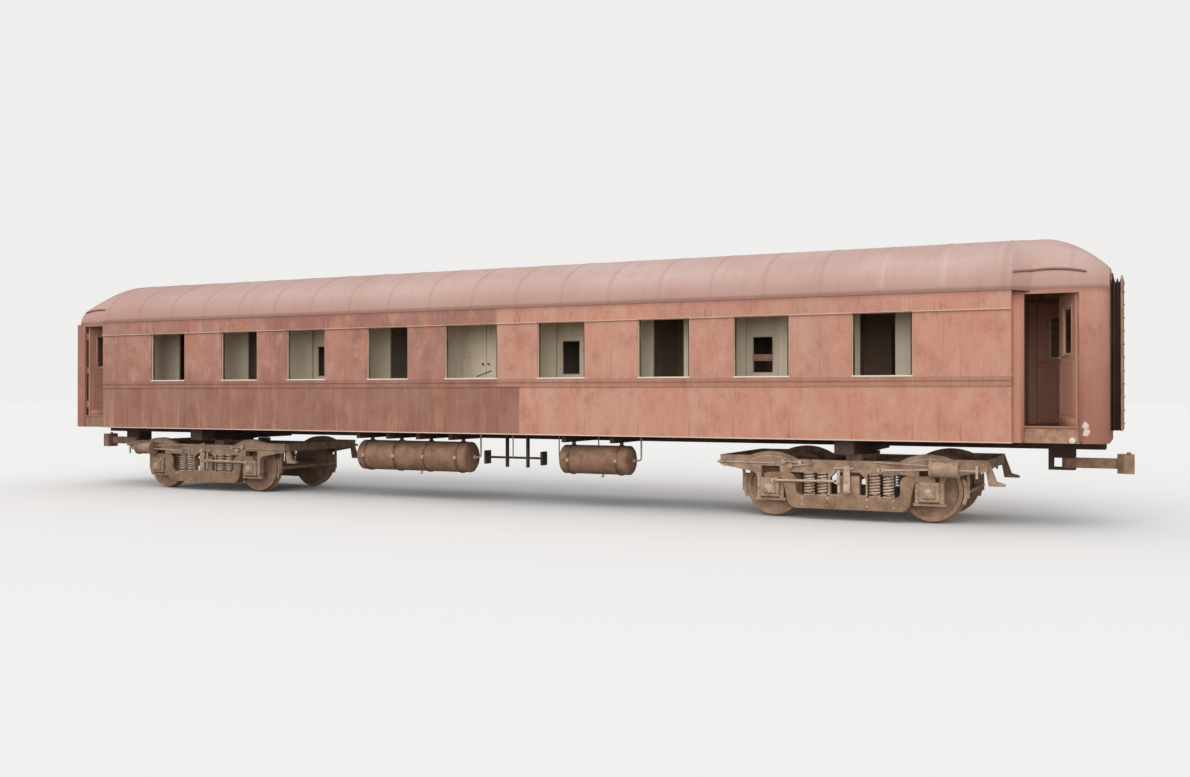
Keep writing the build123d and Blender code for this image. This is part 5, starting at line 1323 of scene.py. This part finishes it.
# %% [markdown]
# With the shapes at hand, the small work of one side is a set of tables: a row for each rod, boss,
# fork and bracket, in metres. x counts from the middle of the bogie, y from the coach's middle line
# and z from the floor. Changing a row moves one piece.

# %% Rods, bosses and brackets of one bogie side
# Each rod: where it starts and ends, its radius, and the sides of its round.
RODS = (
    ((-2.070, 1.132, 0.869), (-1.130, 1.132, 0.862), 0.011, 10),
    ((-1.100, 1.190, 0.600), (-0.180, 1.190, 0.612), 0.019, 12),
    ((-1.003, 1.140, 0.893), (-0.740, 1.140, 0.885), 0.012, 10),
    ((-0.890, 1.150, 0.826), (-0.560, 1.150, 0.862), 0.010, 10),
    ((0.540, 1.244, 0.800), (1.250, 1.244, 0.826), 0.014, 10),
    ((0.412, 1.140, 0.912), (1.237, 1.215, 0.885), 0.009, 10),
    ((1.655, 1.244, 0.826), (1.905, 1.244, 0.826), 0.013, 10),
)
# Each boss: centre, axis, radius, height and sides. Nuts, frame bosses, pins of the swing link.
BOSSES = (
    ((-2.085, 1.132, 0.869), (1, 0, 0), 0.026, 0.040, 6),
    ((-2.020, 1.132, 0.869), (1, 0, 0), 0.020, 0.022, 6),
    ((-1.003, FRAME_FACE, 0.893), (0, 1, 0), 0.044, 0.050, 14),
    ((-0.890, FRAME_FACE, 0.826), (0, 1, 0), 0.038, 0.060, 14),
    ((-0.740, FRAME_FACE, 0.885), (0, 1, 0), 0.032, 0.045, 14),
    ((-0.560, FRAME_FACE, 0.862), (0, 1, 0), 0.020, 0.036, 12),
    ((0.0, 1.150, 0.470), (0, 1, 0), 0.030, 0.052, 14),
    ((0.0, 1.150, 0.620), (0, 1, 0), 0.030, 0.052, 14),
    ((0.0, 1.150, 0.805), (0, 1, 0), 0.030, 0.052, 14),
)
# Each fork: x, y, z and way. Two hold the lower rod and one the cylinder's inner rod.
FORKS = ((-1.135, 1.190, 0.600, -1), (-0.150, 1.190, 0.612, 1), (0.520, 1.244, 0.799, -1))
# Swing link, its stay and its bracket; the brake lever and two brackets; the cylinder's two feet.
BRACKETS = (
    (-0.048, 1.160, 0.433, 0.048, 1.182, 0.846), (-0.140, 1.160, 0.444, -0.108, 1.174, 0.781),
    (-0.200, FRAME_FACE, 0.800, 0.100, 1.162, 0.822), (1.895, 1.232, 0.715, 1.925, 1.256, 0.905),
    (0.505, FRAME_FACE, 0.775, 0.535, 1.244, 0.815), (1.900, FRAME_FACE, 0.870, 1.920, 1.244, 0.895),
    (1.300, FRAME_FACE, 0.930, 1.360, 1.215, 0.948), (1.540, FRAME_FACE, 0.930, 1.600, 1.215, 0.948),
)
rods = [hump_band(-AXLE_X), hump_band(AXLE_X), bars(BRACKETS)] + [round_bar(*row) for row in RODS]
rods += [boss(*row) for row in BOSSES] + [patch for row in FORKS for patch in fork(*row)]
lids = star_lid(-AXLE_X) + star_lid(AXLE_X)
print("rods and bosses on a side:", len(rods))

# %% [markdown]
# Bolts are one six-sided head repeated: rows down the pedestal legs, pairs along the frame, the
# equalizer and the ends, and a ring on the head of the brake cylinder. Then both sides of both
# bogies are made from the one side, and each piece rides on its own bogie.

# %% Bolts, and both bogies
CYLINDER = (1.660, 1.244, 0.838)
HEAD_BOLT_R = 0.118
leg_bolts = [(side * AXLE_X + leg, FRAME_FACE, z)
             for side in (-1, 1) for leg in (-0.181, 0.181) for z in (0.40, 0.50, 0.60, 0.70, 0.80)]
frame_bolts = [(x, FRAME_FACE, z)
               for x in (-0.80, -0.66, -0.34, 0.34, 0.50, 0.66, 0.82) for z in (0.755, 0.900)]
beam_bolts = [(x, 1.155, z) for x in (-0.70, -0.30, 0.30, 0.70) for z in (0.235, 0.335)]
end_bolts = [(x, FRAME_FACE, z) for x in (-1.98, -1.86, 1.86, 1.98) for z in (0.80, 0.92)]
turn = np.linspace(0, 2 * np.pi, 8, endpoint=False)
head_bolts = CYLINDER + HEAD_BOLT_R * np.column_stack([0 * turn, np.cos(turn), np.sin(turn)])
side_bolts = leg_bolts + frame_bolts + beam_bolts + end_bolts
bolts = [scatter(bolt_head((0, 1, 0), 0.013), side_bolts), scatter(bolt_head((1, 0, 0), 0.011), head_bolts)]
small_work = (("bogie_rods_", rods, True), ("lid_stars_", lids, True), ("bogie_bolts_", bolts, False))
for end_name, end in ENDS:
    for name, patches, smooth in small_work:
        both = [placed(patch, (end, side, 1), (end * BOGIE_X, 0, 0)) for side in (-1, 1) for patch in patches]
        make_piece(name + end_name, both, "fitting", "bogie_" + end_name, smooth=smooth)
print("bolts on a bogie:", 2 * (len(side_bolts) + len(head_bolts)))

# %% [markdown]
# Below the floor hang two tanks. Their bands are bolted at the side, each tank has a drain cock, and
# a pipe runs from one head up to the floor. Three thin hangers drop from the side sill.

# %% Tanks and hangers
# Each tank: its two ends, radius, axis height and axis y, and then where its bands are.
TANKS = (("long_tank", (-2.740, -0.280, 0.275, 0.808, -0.900), (-2.52, -1.86, -1.21, -0.52)),
         ("short_tank", (1.520, 2.870, 0.245, 0.828, -0.950), (1.74, 2.64)))
BAND_SECTION = oblong(-0.004, 0.004, -0.017, 0.017)
BAND_OVER = 0.011
CLAMP_HALF = (0.022, 0.030)
CLAMP_OUT = (0.030, 0.006)
PIPE_OUT = 0.13
PIPE_TOP = 1.24
PIPE_R = 0.015
# Each hanger: x, y and the height of its lower end.
HANGERS = ((0.426, -0.75, 0.80), (1.444, -0.93, 0.84), (2.211, -0.95, 1.06))
HANGER_TOP = 1.252


def pipe(points, radius):
    """Round pipe through corner points, each corner cut by three points of a short curve."""
    points = np.asarray(points, float)
    before = points[1:-1] + 0.05 * unit(points[:-2] - points[1:-1])
    after = points[1:-1] + 0.05 * unit(points[2:] - points[1:-1])
    middle = 0.25 * before + 0.5 * points[1:-1] + 0.25 * after
    inner = np.stack([before, middle, after], axis=1).reshape(-1, 3)
    return skin(carry(circle(radius, 10), np.concatenate([points[:1], inner, points[-1:]]), (0, 1, 0)))


def tank_fittings(x0, x1, radius, z, y, bands):
    """Band clamps with bolts, a drain cock below, a boss on each head and a pipe up to the floor."""
    half_x, half_z = CLAMP_HALF
    far, near = (y - radius - out for out in CLAMP_OUT)
    clamps = [(b - half_x, far, z - half_z, b + half_x, near, z + half_z) for b in bands]
    bolts = [(b, far, z + dz) for b in bands for dz in (-0.017, 0.017)]
    drain, bottom = (x0 + x1) / 2 + 0.1, z - radius
    return [bars(clamps), scatter(bolt_head((0, -1, 0), 0.012), bolts),
            round_bar((drain, y, bottom - 0.055), (drain, y, bottom + 0.02), 0.016),
            round_bar((drain, y, bottom - 0.040), (drain, y - 0.09, bottom - 0.045), 0.007),
            boss((x0 + 0.010, y, z), (-1, 0, 0), 0.040, 0.020, 12),
            boss((x1 - 0.010, y, z), (1, 0, 0), 0.040, 0.020, 12),
            pipe([(x1, y, z), (x1 + PIPE_OUT, y, z), (x1 + PIPE_OUT, y, PIPE_TOP)], PIPE_R)]


def tank_straps(radius, z, y, bands):
    """Flat straps round a tank: a thin section carried round the circle y = r cos t, z = r sin t."""
    t = np.linspace(0, 2 * np.pi, 40, endpoint=False)
    r = radius + BAND_OVER
    paths = [np.column_stack([np.full_like(t, b), y + r * np.cos(t), z + r * np.sin(t)]) for b in bands]
    return [skin(carry(BAND_SECTION, path, (1, 0, 0), True), True) for path in paths]


straps = [patch for _, tank, bands in TANKS for patch in tank_straps(*tank[2:], bands)]
make_piece("tank_straps", straps, "strap", smooth=True)
for name, tank, bands in TANKS:
    make_piece(name + "_fittings", tank_fittings(*tank, bands), "fitting", smooth=True)
hangers = [round_bar((x, y, low), (x, y, HANGER_TOP), 0.011) for x, y, low in HANGERS]
make_piece("sill_hangers", hangers, "fitting", smooth=True)
print("tank straps:", len(straps))

# %% [markdown]
# The gangway face plate is bolted to its frame all round, and each coupler head shows its knuckle
# pin on top.

# %% Gangway bolts and coupler pins
PLATE_FACE = 10.324
plate_bolts = [(PLATE_FACE, y, z) for y in (-0.51, 0.51) for z in np.linspace(1.50, 3.50, 11)]
plate_bolts += [(PLATE_FACE, y, 3.60) for y in np.linspace(-0.40, 0.40, 5)]
for end_name, end in ENDS:
    heads = placed(scatter(bolt_head((1, 0, 0), 0.013), plate_bolts), (end, 1, 1))
    make_piece("gangway_bolts_" + end_name, [heads], "plate")
    pin = boss((end * 10.395, 0.055, 1.058), (0, 0, 1), 0.032, 0.028, 14)
    make_piece("coupler_pin_" + end_name, [pin], "wheel", "coupler_" + end_name, smooth=True)
print("pieces made:", len(made), "faces:", sum(made.values()))

# %% [markdown]
# The floor is one large pale sheet. The camera sees it nearly white, so that it runs into the
# backdrop, while the light that it throws back under the coach is that of worn ground.

# %% Floor
FLOOR_REACH = 220.0
FLOOR_SEEN = (0.925, 0.940, 0.960, 1.0)
FLOOR_GIVEN = (0.36, 0.34, 0.32, 1.0)

corners = np.array([(-1, -1, 0), (1, -1, 0), (1, 1, 0), (-1, 1, 0)]) * FLOOR_REACH
floor_mesh = bpy.data.meshes.new("floor_stage")
floor_mesh.from_pydata(corners.tolist(), [], [(0, 1, 2, 3)])
floor_object = bpy.data.objects.new("floor_stage", floor_mesh)
bpy.context.scene.collection.objects.link(floor_object)
floor_material = bpy.data.materials.new("pale_floor")
floor_material.use_nodes = True
floor_recipe = Recipe(floor_material.node_tree)
floor_shader = floor_material.node_tree.nodes["Principled BSDF"]
floor_shader.inputs["Roughness"].default_value = 1.0
floor_shader.inputs["Specular IOR Level"].default_value = 0.0
seen_ray = floor_recipe.add("LightPath").outputs["Is Camera Ray"]
floor_recipe.join(floor_recipe.mix(seen_ray, FLOOR_GIVEN, FLOOR_SEEN), floor_shader.inputs["Base Color"])
paint(floor_object, floor_material)
